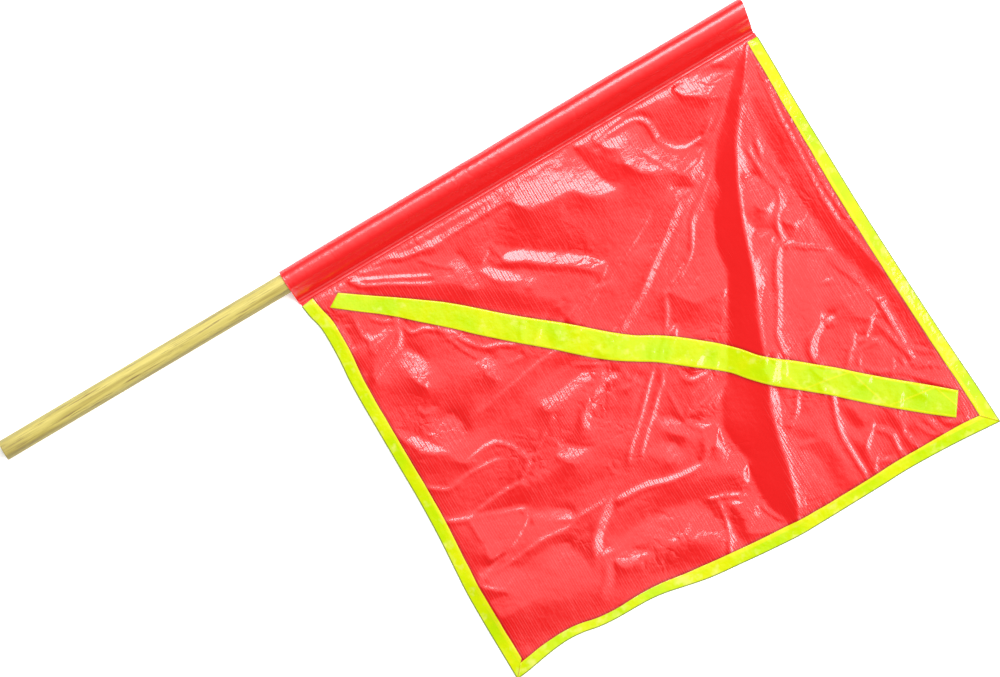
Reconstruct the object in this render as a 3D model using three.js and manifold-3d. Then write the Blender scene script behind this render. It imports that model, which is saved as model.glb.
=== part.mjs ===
// Hand-held warning flag: a red coated-cloth flag welded round a wooden staff,
// bound on three edges with folded retroreflective tape and crossed by one
// diagonal strip of the same tape. It lies flat, the way it is put down on a table.
//
// Units are millimetres, +Z is up. The staff runs along X with its bare butt end
// at -X, the flag spreads from it towards -Y, and the origin is the middle of the
// footprint, on the surface that the flag lies on.
//
// Two bodies: the staff with its sleeve and staples, and the swinging cloth with
// its bindings and its strip. They meet at a straight hinge gap beside the weld band.

import * as THREE from 'three';
import { mergeVertices } from 'three/addons/utils/BufferGeometryUtils.js';
import Module from 'manifold-3d';

// ---- driving dimensions (mm) -------------------------------------------------
const OVERALL_LENGTH = 914.4;    // 36 in, butt end to the closed end of the sleeve
const STAFF_LENGTH = 909.4;      // dowel, which stops just inside the closed end
const STAFF_RADIUS = 11.1;       // 7/8 in dowel
const STAFF_EDGE_BREAK = 0.5;    // sanded edge at both ends
const STAFF_SEGMENTS = 56;

const CLOTH = 0.5;               // coated cloth thickness
const TAPE = 0.4;                // reflective tape thickness
const GAP = 0.3;                 // clearance between touching pieces

const SLEEVE_START = 347.4;      // mouth of the sleeve, from the butt end
const SLEEVE_SLACK = 2.7;        // how far the loop stands off the staff at its back
const SEAM_D = 23.4;             // weld line, from the staff's axis
const BAND_END_D = 27.0;         // far edge of the weld band
const HINGE_D = 28.6;            // line that the free cloth swings about
const CLOTH_START_D = 29.8;      // near edge of the free cloth

const TAPE_LAP = 14.0;           // width of the folded tape on each face
const STRIP_WIDTH = 30.0;        // full tape width
const TIP_CHAMFER = [-9.5, 6.6];  // closed end cut back: from this distance off the axis, by this much at the weld band

const STAPLE_CROWN = 10.0;       // outside width of a staple
const STAPLE_LEG = 8.0;          // height of a staple
const STAPLE_WIRE_T = 0.7;
const STAPLE_WIRE_W = 0.9;
const STAPLE_ANGLE = 40;         // degrees below level, on the back of the sleeve
const STAPLE_X = [SLEEVE_START + 16, (SLEEVE_START + STAFF_LENGTH) / 2, STAFF_LENGTH - 20];

// ---- derived heights ----------------------------------------------------------
const AXIS_Z = CLOTH + GAP + STAFF_RADIUS;            // staff axis above the surface
const PANEL_Z = TAPE + GAP;                           // underside of the cloth
const TAPE_TOP_Z = PANEL_Z + CLOTH + GAP;             // underside of the tape's upper lap
const EDGE_TOP_Z = TAPE_TOP_Z + TAPE;                 // top of the bound edge
const SLEEVE_END = OVERALL_LENGTH;                    // closed end of the sleeve
const OUTER_R = STAFF_RADIUS + GAP + CLOTH;
const INNER_R = STAFF_RADIUS + GAP;

// Outer edges of the flag as it lies, as (distance from the butt end, distance from
// the staff's axis). The cloth is drawn in a little by its folds, so they wander.
const GRIP_EDGE = [[349.2, CLOTH_START_D], [351.3, 43.9], [354.8, 58.7], [355.4, 77.8], [354.5, 101.1], [352.6, 122.2], [351.7, 148.7], [351.5, 185.7], [351.3, 228], [351.1, 270.4], [349.5, 312.7], [346.3, 355], [344.5, 381.5], [344, 418.5], [344.2, 460.8], [344.3, 485.5]];
const FLY_EDGE = [[344.3, 485.5], [356.6, 484.3], [367.2, 482.6], [383.1, 479.9], [398.9, 477.8], [414.8, 477.1], [430.7, 478.6], [446.6, 481.8], [462.4, 483.5], [478.3, 484], [494.2, 484.1], [510.1, 484.8], [525.9, 486.9], [541.8, 490.4], [557.7, 494], [573.5, 497.1], [589.4, 499.2], [605.3, 500.8], [621.2, 502.5], [637, 504.1], [652.9, 505.5], [668.8, 506.8], [684.7, 507.6], [700.5, 507.5], [732.3, 507.1], [779.9, 506.3], [811.6, 505.5], [843.4, 506.3], [875.1, 507.9], [906.9, 510.5], [923.4, 511.9]];
const TIP_EDGE = [[923.4, 511.9], [922.2, 482], [921.2, 460.8], [919.9, 439.7], [918.7, 418.5], [916.6, 376.2], [914.8, 333.9], [913.2, 291.5], [911.9, 249.2], [911.1, 206.9], [910.6, 164.6], [910.1, 132.8], [909.9, 101.1], [910.4, 69.3], [910.4, 48.1], [910.4, CLOTH_START_D]];
// Middle line of the diagonal strip, then its width as it lies, as a share of the tape's
// width at each share of its length: it narrows where the cloth under it is steep.
const STRIP_LINE = [[382.2, 41.4], [403.7, 57.7], [420.8, 70.3], [437.6, 83.2], [453.9, 96.7], [470.3, 110], [486.3, 124], [501.7, 138.5], [517.3, 152.8], [533.2, 166.8], [549.3, 180.5], [565.5, 194.1], [581.3, 208.3], [597, 222.6], [613.3, 236], [630.6, 248.3], [648.9, 259.4], [666, 272], [682.4, 285.3], [698.9, 298.6], [714.4, 313], [728.2, 329.5], [743.5, 344.2], [760, 357.5], [776.2, 371.2], [792.4, 384.8], [807.9, 399.3], [823.6, 413.5], [839.5, 427.4], [855.7, 441.1], [871.8, 454.7], [893.2, 472.5]];
const STRIP_HALF = [[0, 0.55], [0.04, 0.591], [0.072, 0.617], [0.104, 0.679], [0.135, 0.767], [0.167, 0.838], [0.199, 0.873], [0.23, 0.908], [0.262, 0.91], [0.293, 0.926], [0.325, 0.943], [0.357, 0.972], [0.388, 0.998], [0.42, 0.998], [0.451, 0.967], [0.483, 0.917], [0.515, 0.945], [0.547, 0.981], [0.578, 0.977], [0.61, 0.945], [0.642, 0.896], [0.674, 0.899], [0.705, 0.953], [0.737, 0.987], [0.769, 0.981], [0.8, 0.987], [0.832, 0.991], [0.864, 1.003], [0.895, 1.005], [0.927, 1.013], [0.958, 1.009], [1, 0.959]];

// ---- helpers ---------------------------------------------------------------------
const wasm = await Module();
wasm.setup();

function toSolid(geometry) {
  const g = geometry.clone();
  g.deleteAttribute('normal');
  g.deleteAttribute('uv');
  const m = mergeVertices(g, 1e-4);
  return new wasm.Manifold(new wasm.Mesh({
    numProp: 3,
    vertProperties: new Float32Array(m.attributes.position.array),
    triVerts: new Uint32Array(m.index.array),
  }));
}

function toGeometry(solid) {
  const mesh = solid.getMesh();
  const g = new THREE.BufferGeometry();
  g.setAttribute('position', new THREE.BufferAttribute(new Float32Array(mesh.vertProperties), 3));
  g.setIndex(new THREE.BufferAttribute(new Uint32Array(mesh.triVerts), 1));
  g.computeVertexNormals();
  return g;
}

function flip(geometry) {   // turns every face over, after a mirroring map
  const g = geometry.index ? geometry.toNonIndexed() : geometry;
  const p = g.attributes.position;
  for (let i = 0; i < p.count; i += 3) {
    const a = [p.getX(i + 1), p.getY(i + 1), p.getZ(i + 1)];
    p.setXYZ(i + 1, p.getX(i + 2), p.getY(i + 2), p.getZ(i + 2));
    p.setXYZ(i + 2, ...a);
  }
  return g;
}

// Extrudes a profile drawn in (distance from the axis, height) along X.
function extrudeAlongX(points, x0, x1) {
  const shape = new THREE.Shape(points.map(([d, z]) => new THREE.Vector2(d, z)));
  const g = new THREE.ExtrudeGeometry(shape, { depth: x1 - x0, steps: 1, bevelEnabled: false });
  const p = g.attributes.position;
  for (let i = 0; i < p.count; i++) {
    const d = p.getX(i), z = p.getY(i), x = p.getZ(i);
    p.setXYZ(i, x0 + x, -d, z);
  }
  return flip(g);
}

class Edge {   // a smooth line in the plane of the flag, by arc length
  constructor(points) {
    this.curve = new THREE.CatmullRomCurve3(points.map(([x, d]) => new THREE.Vector3(x, d, 0)), false, 'centripetal');
    this.curve.arcLengthDivisions = 800;
    this.length = this.curve.getLength();
  }
  at(s) {
    const u = Math.min(1, Math.max(0, s / this.length));
    const p = this.curve.getPointAt(u);
    const t = this.curve.getTangentAt(u);
    return { p, t, over: s - u * this.length };
  }
  // the point at arc length s, moved o to the left of the direction of travel (x right, d up)
  offset(s, o) {
    const { p, t, over } = this.at(s);
    return [p.x + t.x * over - t.y * o, p.y + t.y * over + t.x * o];
  }
}

const grip = new Edge(GRIP_EDGE);      // runs away from the staff
const fly = new Edge(FLY_EDGE);        // runs towards the tip
const tip = new Edge(TIP_EDGE);        // runs back to the staff
const strip = new Edge(STRIP_LINE);

function mitre(a, b) {   // along-edge shift per unit of inset where edge a meets edge b
  const ta = a.curve.getTangentAt(1), tb = b.curve.getTangentAt(0);
  const inside = Math.PI - Math.acos(THREE.MathUtils.clamp(ta.dot(tb), -1, 1));
  return 1 / Math.tan(inside / 2);
}
const mitreGripFly = mitre(grip, fly);
const mitreFlyTip = mitre(fly, tip);

// Bends a straight extrusion, whose profile is (inset from the edge, height), along an edge.
// The cloth lies to the left or the right of the edge's direction: side is +1 or -1.
function bendAlong(edge, profile, steps, side, startShift, endShift, trim = [0, 0], widthAt = null) {
  const shape = new THREE.Shape(profile.map(([o, z]) => new THREE.Vector2(o, z)));
  const g = new THREE.ExtrudeGeometry(shape, { depth: 1, steps, bevelEnabled: false });
  const p = g.attributes.position;
  for (let i = 0; i < p.count; i++) {
    const u = p.getZ(i), z = p.getY(i);
    let o = p.getX(i);
    if (widthAt) o *= widthAt(u);
    const a = trim[0] + o * startShift, b = edge.length - trim[1] - o * endShift;
    const [x, d] = edge.offset(a + (b - a) * u, side * o);
    p.setXYZ(i, x, -d, z);
  }
  return g;
}

function signedVolume(geometry) {
  const g = geometry.index ? geometry.toNonIndexed() : geometry;
  const p = g.attributes.position;
  let v = 0;
  const a = new THREE.Vector3(), b = new THREE.Vector3(), c = new THREE.Vector3();
  for (let i = 0; i < p.count; i += 3) {
    a.fromBufferAttribute(p, i); b.fromBufferAttribute(p, i + 1); c.fromBufferAttribute(p, i + 2);
    v += a.dot(b.cross(c)) / 6;
  }
  return v;
}
const outward = (g) => (signedVolume(g) < 0 ? flip(g) : g);

function material(color, roughness, metalness = 0) {
  return new THREE.MeshStandardMaterial({ color, roughness, metalness });
}
function node(name, geometry, mat) {
  const g = geometry.clone();
  g.computeVertexNormals();
  const mesh = new THREE.Mesh(g, mat);
  mesh.name = name;
  return mesh;
}

const wood = material(0xe6cf88, 0.75);
const redCloth = material(0xfb2c28, 0.35);
const lime = material(0xdff814, 0.3);
const steel = material(0xb4b6b8, 0.4, 1);

// ---- staples: a U of flat wire, legs pointing at the staff's axis --------------
const stapleA = THREE.MathUtils.degToRad(STAPLE_ANGLE);
const backRadius = 1 / Math.hypot(Math.cos(stapleA) / (OUTER_R + SLEEVE_SLACK), Math.sin(stapleA) / OUTER_R);
const crownTop = backRadius + GAP + STAPLE_WIRE_T;
// Places a solid drawn with x along the staff, y away from the axis and z across the wire.
function placeOnBack(geometry, x) {
  const p = geometry.attributes.position;
  // away from the staff's axis, on its back (+Y) and below level
  const ry = Math.cos(stapleA), rz = -Math.sin(stapleA);
  for (let i = 0; i < p.count; i++) {
    const px = p.getX(i), r = p.getY(i), w = p.getZ(i);
    p.setXYZ(i, x + px, r * ry + w * rz, AXIS_Z + r * rz - w * ry);
  }
  return outward(geometry);
}
function stapleGeometry(x) {
  const h = STAPLE_CROWN / 2, t = STAPLE_WIRE_T, top = crownTop, foot = crownTop - STAPLE_LEG;
  const s = new THREE.Shape();
  s.moveTo(-h, foot + 1.2); s.lineTo(-h, top - 0.4); s.lineTo(-h + 0.4, top);
  s.lineTo(h - 0.4, top); s.lineTo(h, top - 0.4); s.lineTo(h, foot + 1.2);
  s.lineTo(h - t, foot); s.lineTo(h - t, top - t); s.lineTo(-h + t, top - t); s.lineTo(-h + t, foot);
  s.closePath();
  const g = new THREE.ExtrudeGeometry(s, { depth: STAPLE_WIRE_W, steps: 1, bevelEnabled: false });
  g.translate(0, 0, -STAPLE_WIRE_W / 2);
  return placeOnBack(g, x);
}
function legSlots(x) {   // the two slits that a staple's legs go through
  const h = STAPLE_CROWN / 2, t = STAPLE_WIRE_T, foot = crownTop - STAPLE_LEG;
  return [-(h - t / 2), h - t / 2].map((px) => {
    const height = 20 - (foot - GAP);
    const g = new THREE.BoxGeometry(t + 2 * GAP, height, STAPLE_WIRE_W + 2 * GAP);
    g.translate(px, foot - GAP + height / 2, 0);
    return toSolid(placeOnBack(g.toNonIndexed(), x));
  });
}
const slots = STAPLE_X.flatMap(legSlots);

// ---- staff -------------------------------------------------------------------------
const e = STAFF_EDGE_BREAK;
const staffProfile = [[0, 0], [STAFF_RADIUS - e, 0], [STAFF_RADIUS, e], [STAFF_RADIUS, STAFF_LENGTH - e], [STAFF_RADIUS - e, STAFF_LENGTH], [0, STAFF_LENGTH]];
const staffLathe = new THREE.LatheGeometry(staffProfile.map(([r, y]) => new THREE.Vector2(r, y)), STAFF_SEGMENTS);
staffLathe.rotateZ(-Math.PI / 2);
staffLathe.translate(0, 0, AXIS_Z);
let staffSolid = toSolid(outward(staffLathe.toNonIndexed()));
for (const s of slots) staffSolid = staffSolid.subtract(s);

// ---- sleeve: a teardrop loop, closed at the tip, with a flat weld band ---------
// Profile of the loop at a given offset from the staff's surface.
function loop(radius, back, seam, bottom) {
  const pts = [];
  const c = [0, AXIS_Z];
  const dist = Math.hypot(seam[0] - c[0], seam[1] - c[1]);
  const toCentre = Math.atan2(c[1] - seam[1], c[0] - seam[0]);
  const dir = toCentre - Math.asin(radius / dist);
  const reach = Math.sqrt(dist * dist - radius * radius);
  const touch = [seam[0] + reach * Math.cos(dir), seam[1] + reach * Math.sin(dir)];
  const a0 = Math.atan2(touch[1] - c[1], touch[0] - c[0]);
  pts.push([seam[0], bottom], [0, bottom]);
  const n = 26;                                   // back of the loop, bottom to top
  for (let i = 1; i <= n; i++) {
    const a = -Math.PI / 2 - (Math.PI * i) / n;
    pts.push([(radius + back) * Math.cos(a), c[1] + radius * Math.sin(a)]);
  }
  const m = 8;                                    // over the top to where it leaves the staff
  for (let i = 1; i <= m; i++) {
    const a = Math.PI / 2 + ((a0 - Math.PI / 2) * i) / m;
    pts.push([c[0] + radius * Math.cos(a), c[1] + radius * Math.sin(a)]);
  }
  pts.push(seam);
  return pts;
}
const outerLoop = loop(OUTER_R, SLEEVE_SLACK, [SEAM_D, 2 * CLOTH], 0);
outerLoop[0] = [BAND_END_D, 0];
outerLoop.push([BAND_END_D, 2 * CLOTH]);
const innerLoop = loop(INNER_R, SLEEVE_SLACK, [SEAM_D - 1.6, CLOTH + 0.35], CLOTH);
// Wedge that cuts the closed end back at a slant, on the side of the weld.
function endWedge(shift) {
  const [d0, cut] = TIP_CHAMFER;
  const slope = cut / (BAND_END_D - d0);
  const at = (d) => SLEEVE_END - shift - slope * (d - d0);
  const shape = new THREE.Shape([[at(d0 - 2), 2 - d0], [at(BAND_END_D + 2), -BAND_END_D - 2], [SLEEVE_END + 4, -BAND_END_D - 2], [SLEEVE_END + 4, 2 - d0]].map(([x, y]) => new THREE.Vector2(x, y)));
  const g = new THREE.ExtrudeGeometry(shape, { depth: 60, steps: 1, bevelEnabled: false });
  g.translate(0, 0, -10);
  return toSolid(outward(g));
}
let sleeveHollow = toSolid(outward(extrudeAlongX(innerLoop, SLEEVE_START - 5, SLEEVE_END - CLOTH)));
sleeveHollow = sleeveHollow.subtract(endWedge(CLOTH));
let sleeveSolid = toSolid(outward(extrudeAlongX(outerLoop, SLEEVE_START, SLEEVE_END)));
sleeveSolid = sleeveSolid.subtract(endWedge(0)).subtract(sleeveHollow);
for (const s of slots) sleeveSolid = sleeveSolid.subtract(s);

// ---- free cloth --------------------------------------------------------------------
function sample(edge, from, to, o, side, n) {
  const out = [];
  for (let i = 0; i <= n; i++) out.push(edge.offset(from + ((to - from) * i) / n, side * o));
  return out;
}
const inset = TAPE + GAP;
const panelOutline = [
  ...sample(grip, 0, grip.length - inset * mitreGripFly, inset, -1, 30),
  ...sample(fly, inset * mitreGripFly, fly.length - inset * mitreFlyTip, inset, -1, 48).slice(1),
  ...sample(tip, inset * mitreFlyTip, tip.length, inset, -1, 30).slice(1),
];
function flatPiece(outline, z, thickness) {
  const shape = new THREE.Shape(outline.map(([x, d]) => new THREE.Vector2(x, -d)));
  const g = new THREE.ExtrudeGeometry(shape, { depth: thickness, steps: 1, bevelEnabled: false });
  g.translate(0, 0, z);
  return outward(g.index ? g.toNonIndexed() : g);
}
const panel = flatPiece(panelOutline, PANEL_Z, CLOTH);

// ---- bindings: tape folded over the edge, a U in section -----------------------
const u = [[0, 0], [TAPE_LAP, 0], [TAPE_LAP, TAPE], [TAPE, TAPE], [TAPE, TAPE_TOP_Z], [TAPE_LAP, TAPE_TOP_Z], [TAPE_LAP, EDGE_TOP_Z], [0, EDGE_TOP_Z]];
const MITRE_GAP = 0.6;
const gripBinding = outward(bendAlong(grip, u, 34, -1, 0, mitreGripFly, [0, MITRE_GAP]).toNonIndexed());
const flyBinding = outward(bendAlong(fly, u, 48, -1, mitreGripFly, mitreFlyTip, [MITRE_GAP, MITRE_GAP]).toNonIndexed());
const tipBinding = outward(bendAlong(tip, u, 34, -1, mitreFlyTip, 0, [MITRE_GAP, 0]).toNonIndexed());

// ---- diagonal strip, flat on the face of the cloth -----------------------------
function halfWidthAt(uu) {
  for (let i = 1; i < STRIP_HALF.length; i++) {
    const [u0, w0] = STRIP_HALF[i - 1], [u1, w1] = STRIP_HALF[i];
    if (uu <= u1) return w0 + ((w1 - w0) * (uu - u0)) / (u1 - u0);
  }
  return 1;
}
const half = STRIP_WIDTH / 2;
const stripProfile = [[-half, TAPE_TOP_Z], [half, TAPE_TOP_Z], [half, EDGE_TOP_Z], [-half, EDGE_TOP_Z]];
const stripGeometry = outward(bendAlong(strip, stripProfile, 44, 1, 0, 0, [0, 0], halfWidthAt).toNonIndexed());

// ---- the flag ----------------------------------------------------------------------
const staffBody = new THREE.Group();
staffBody.add(node('staff', toGeometry(staffSolid), wood));
staffBody.add(node('pole_sleeve', toGeometry(sleeveSolid), redCloth));
['staple_grip_end', 'staple_middle', 'staple_tip_end'].forEach((name, i) => {
  staffBody.add(node(name, stapleGeometry(STAPLE_X[i]), steel));
});

const clothBody = new THREE.Group();
clothBody.add(node('flag_panel', panel, redCloth.clone()));
clothBody.add(node('binding_grip_side', gripBinding, lime));
clothBody.add(node('binding_fly_side', flyBinding, lime.clone()));
clothBody.add(node('binding_tip_side', tipBinding, lime.clone()));
clothBody.add(node('diagonal_strip', stripGeometry, lime.clone()));

const flag = new THREE.Group();
flag.add(staffBody, clothBody);
flag.updateMatrixWorld(true);
const box = new THREE.Box3().setFromObject(flag, true);
// the origin goes to the middle of the footprint
flag.position.set(-(box.min.x + box.max.x) / 2, -(box.min.y + box.max.y) / 2, -box.min.z);
flag.updateMatrixWorld(true);

export default flag;
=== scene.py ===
"""Looks of the hand-held warning flag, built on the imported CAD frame.

The frame gives the staff, the staples and every size. The soft parts are made here from
the same outlines as the CAD: one sheet of ribbed, glossy coated cloth that is welded
round the staff and then lies creased on the floor, with reflective tape folded over
three edges and one strip of it laid slantwise.

Places on the flag are given as (x, d): millimetres from the staff's butt end, and
millimetres from the staff's axis towards the fly edge. Folds are laid out in steps of
STEP millimetres on the same two axes.
"""

import math

import bpy
import numpy as np
from mathutils import Matrix, Vector, kdtree


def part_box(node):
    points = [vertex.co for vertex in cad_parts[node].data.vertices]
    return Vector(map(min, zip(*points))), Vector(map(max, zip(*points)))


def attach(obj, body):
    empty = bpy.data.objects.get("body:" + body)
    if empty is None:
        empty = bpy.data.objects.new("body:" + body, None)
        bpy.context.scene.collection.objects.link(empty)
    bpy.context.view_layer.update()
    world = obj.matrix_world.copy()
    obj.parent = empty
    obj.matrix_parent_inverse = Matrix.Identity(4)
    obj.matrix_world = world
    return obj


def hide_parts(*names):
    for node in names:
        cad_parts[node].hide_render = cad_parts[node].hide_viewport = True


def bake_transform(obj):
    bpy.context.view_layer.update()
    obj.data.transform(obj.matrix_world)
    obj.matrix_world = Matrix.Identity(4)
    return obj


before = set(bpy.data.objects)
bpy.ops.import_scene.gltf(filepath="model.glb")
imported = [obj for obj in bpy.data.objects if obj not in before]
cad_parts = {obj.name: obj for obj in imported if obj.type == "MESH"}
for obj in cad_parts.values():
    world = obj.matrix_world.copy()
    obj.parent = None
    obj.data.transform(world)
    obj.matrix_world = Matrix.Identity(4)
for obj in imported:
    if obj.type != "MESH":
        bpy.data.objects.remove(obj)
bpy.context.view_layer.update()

# ---- where things are, from the frame ---------------------------------------------
staff_lo, staff_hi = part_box("staff")
sleeve_lo, sleeve_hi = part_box("pole_sleeve")
BUTT_X = staff_lo.x
AXIS_Y = (staff_lo.y + staff_hi.y) / 2
AXIS_Z = (staff_lo.z + staff_hi.z) / 2
STAFF_R = (staff_hi.z - staff_lo.z) / 2 * 1000
SLEEVE_X0 = (sleeve_lo.x - BUTT_X) * 1000
SLEEVE_X1 = (sleeve_hi.x - BUTT_X) * 1000
AXIS_H = AXIS_Z * 1000

# ---- outlines shared with the CAD, in millimetres ----------------------------------
STEP = 1.0582
GRIP_EDGE = [[349.2, 29.8], [351.3, 43.9], [354.8, 58.7], [355.4, 77.8], [354.5, 101.1], [352.6, 122.2], [351.7, 148.7], [351.5, 185.7], [351.3, 228], [351.1, 270.4], [349.5, 312.7], [346.3, 355], [344.5, 381.5], [344, 418.5], [344.2, 460.8], [344.3, 485.5]]
FLY_EDGE = [[344.3, 485.5], [356.6, 484.3], [367.2, 482.6], [383.1, 479.9], [398.9, 477.8], [414.8, 477.1], [430.7, 478.6], [446.6, 481.8], [462.4, 483.5], [478.3, 484], [494.2, 484.1], [510.1, 484.8], [525.9, 486.9], [541.8, 490.4], [557.7, 494], [573.5, 497.1], [589.4, 499.2], [605.3, 500.8], [621.2, 502.5], [637, 504.1], [652.9, 505.5], [668.8, 506.8], [684.7, 507.6], [700.5, 507.5], [732.3, 507.1], [779.9, 506.3], [811.6, 505.5], [843.4, 506.3], [875.1, 507.9], [906.9, 510.5], [923.4, 511.9]]
TIP_EDGE = [[923.4, 511.9], [922.2, 482], [921.2, 460.8], [919.9, 439.7], [918.7, 418.5], [916.6, 376.2], [914.8, 333.9], [913.2, 291.5], [911.9, 249.2], [911.1, 206.9], [910.6, 164.6], [910.1, 132.8], [909.9, 101.1], [910.4, 69.3], [910.4, 48.1], [910.4, 29.8]]
STRIP_LINE = [[382.2, 41.4], [403.7, 57.7], [420.8, 70.3], [437.6, 83.2], [453.9, 96.7], [470.3, 110], [486.3, 124], [501.7, 138.5], [517.3, 152.8], [533.2, 166.8], [549.3, 180.5], [565.5, 194.1], [581.3, 208.3], [597, 222.6], [613.3, 236], [630.6, 248.3], [648.9, 259.4], [666, 272], [682.4, 285.3], [698.9, 298.6], [714.4, 313], [728.2, 329.5], [743.5, 344.2], [760, 357.5], [776.2, 371.2], [792.4, 384.8], [807.9, 399.3], [823.6, 413.5], [839.5, 427.4], [855.7, 441.1], [871.8, 454.7], [893.2, 472.5]]
STRIP_HALF = [[0, 0.55], [0.04, 0.591], [0.072, 0.617], [0.104, 0.679], [0.135, 0.767], [0.167, 0.838], [0.199, 0.873], [0.23, 0.908], [0.262, 0.91], [0.293, 0.926], [0.325, 0.943], [0.357, 0.972], [0.388, 0.998], [0.42, 0.998], [0.451, 0.967], [0.483, 0.917], [0.515, 0.945], [0.547, 0.981], [0.578, 0.977], [0.61, 0.945], [0.642, 0.896], [0.674, 0.899], [0.705, 0.953], [0.737, 0.987], [0.769, 0.981], [0.8, 0.987], [0.832, 0.991], [0.864, 1.003], [0.895, 1.005], [0.927, 1.013], [0.958, 1.009], [1, 0.959]]
SHEET_Z = 0.95          # middle of the cloth where it lies flat
BAND_END_D = 27.0
HINGE_D = 28.6


def fold_step(x, d):
    """(x, d) in millimetres as steps on the fold map."""
    return x / STEP - 2.0, d / STEP + 4.5


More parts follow.
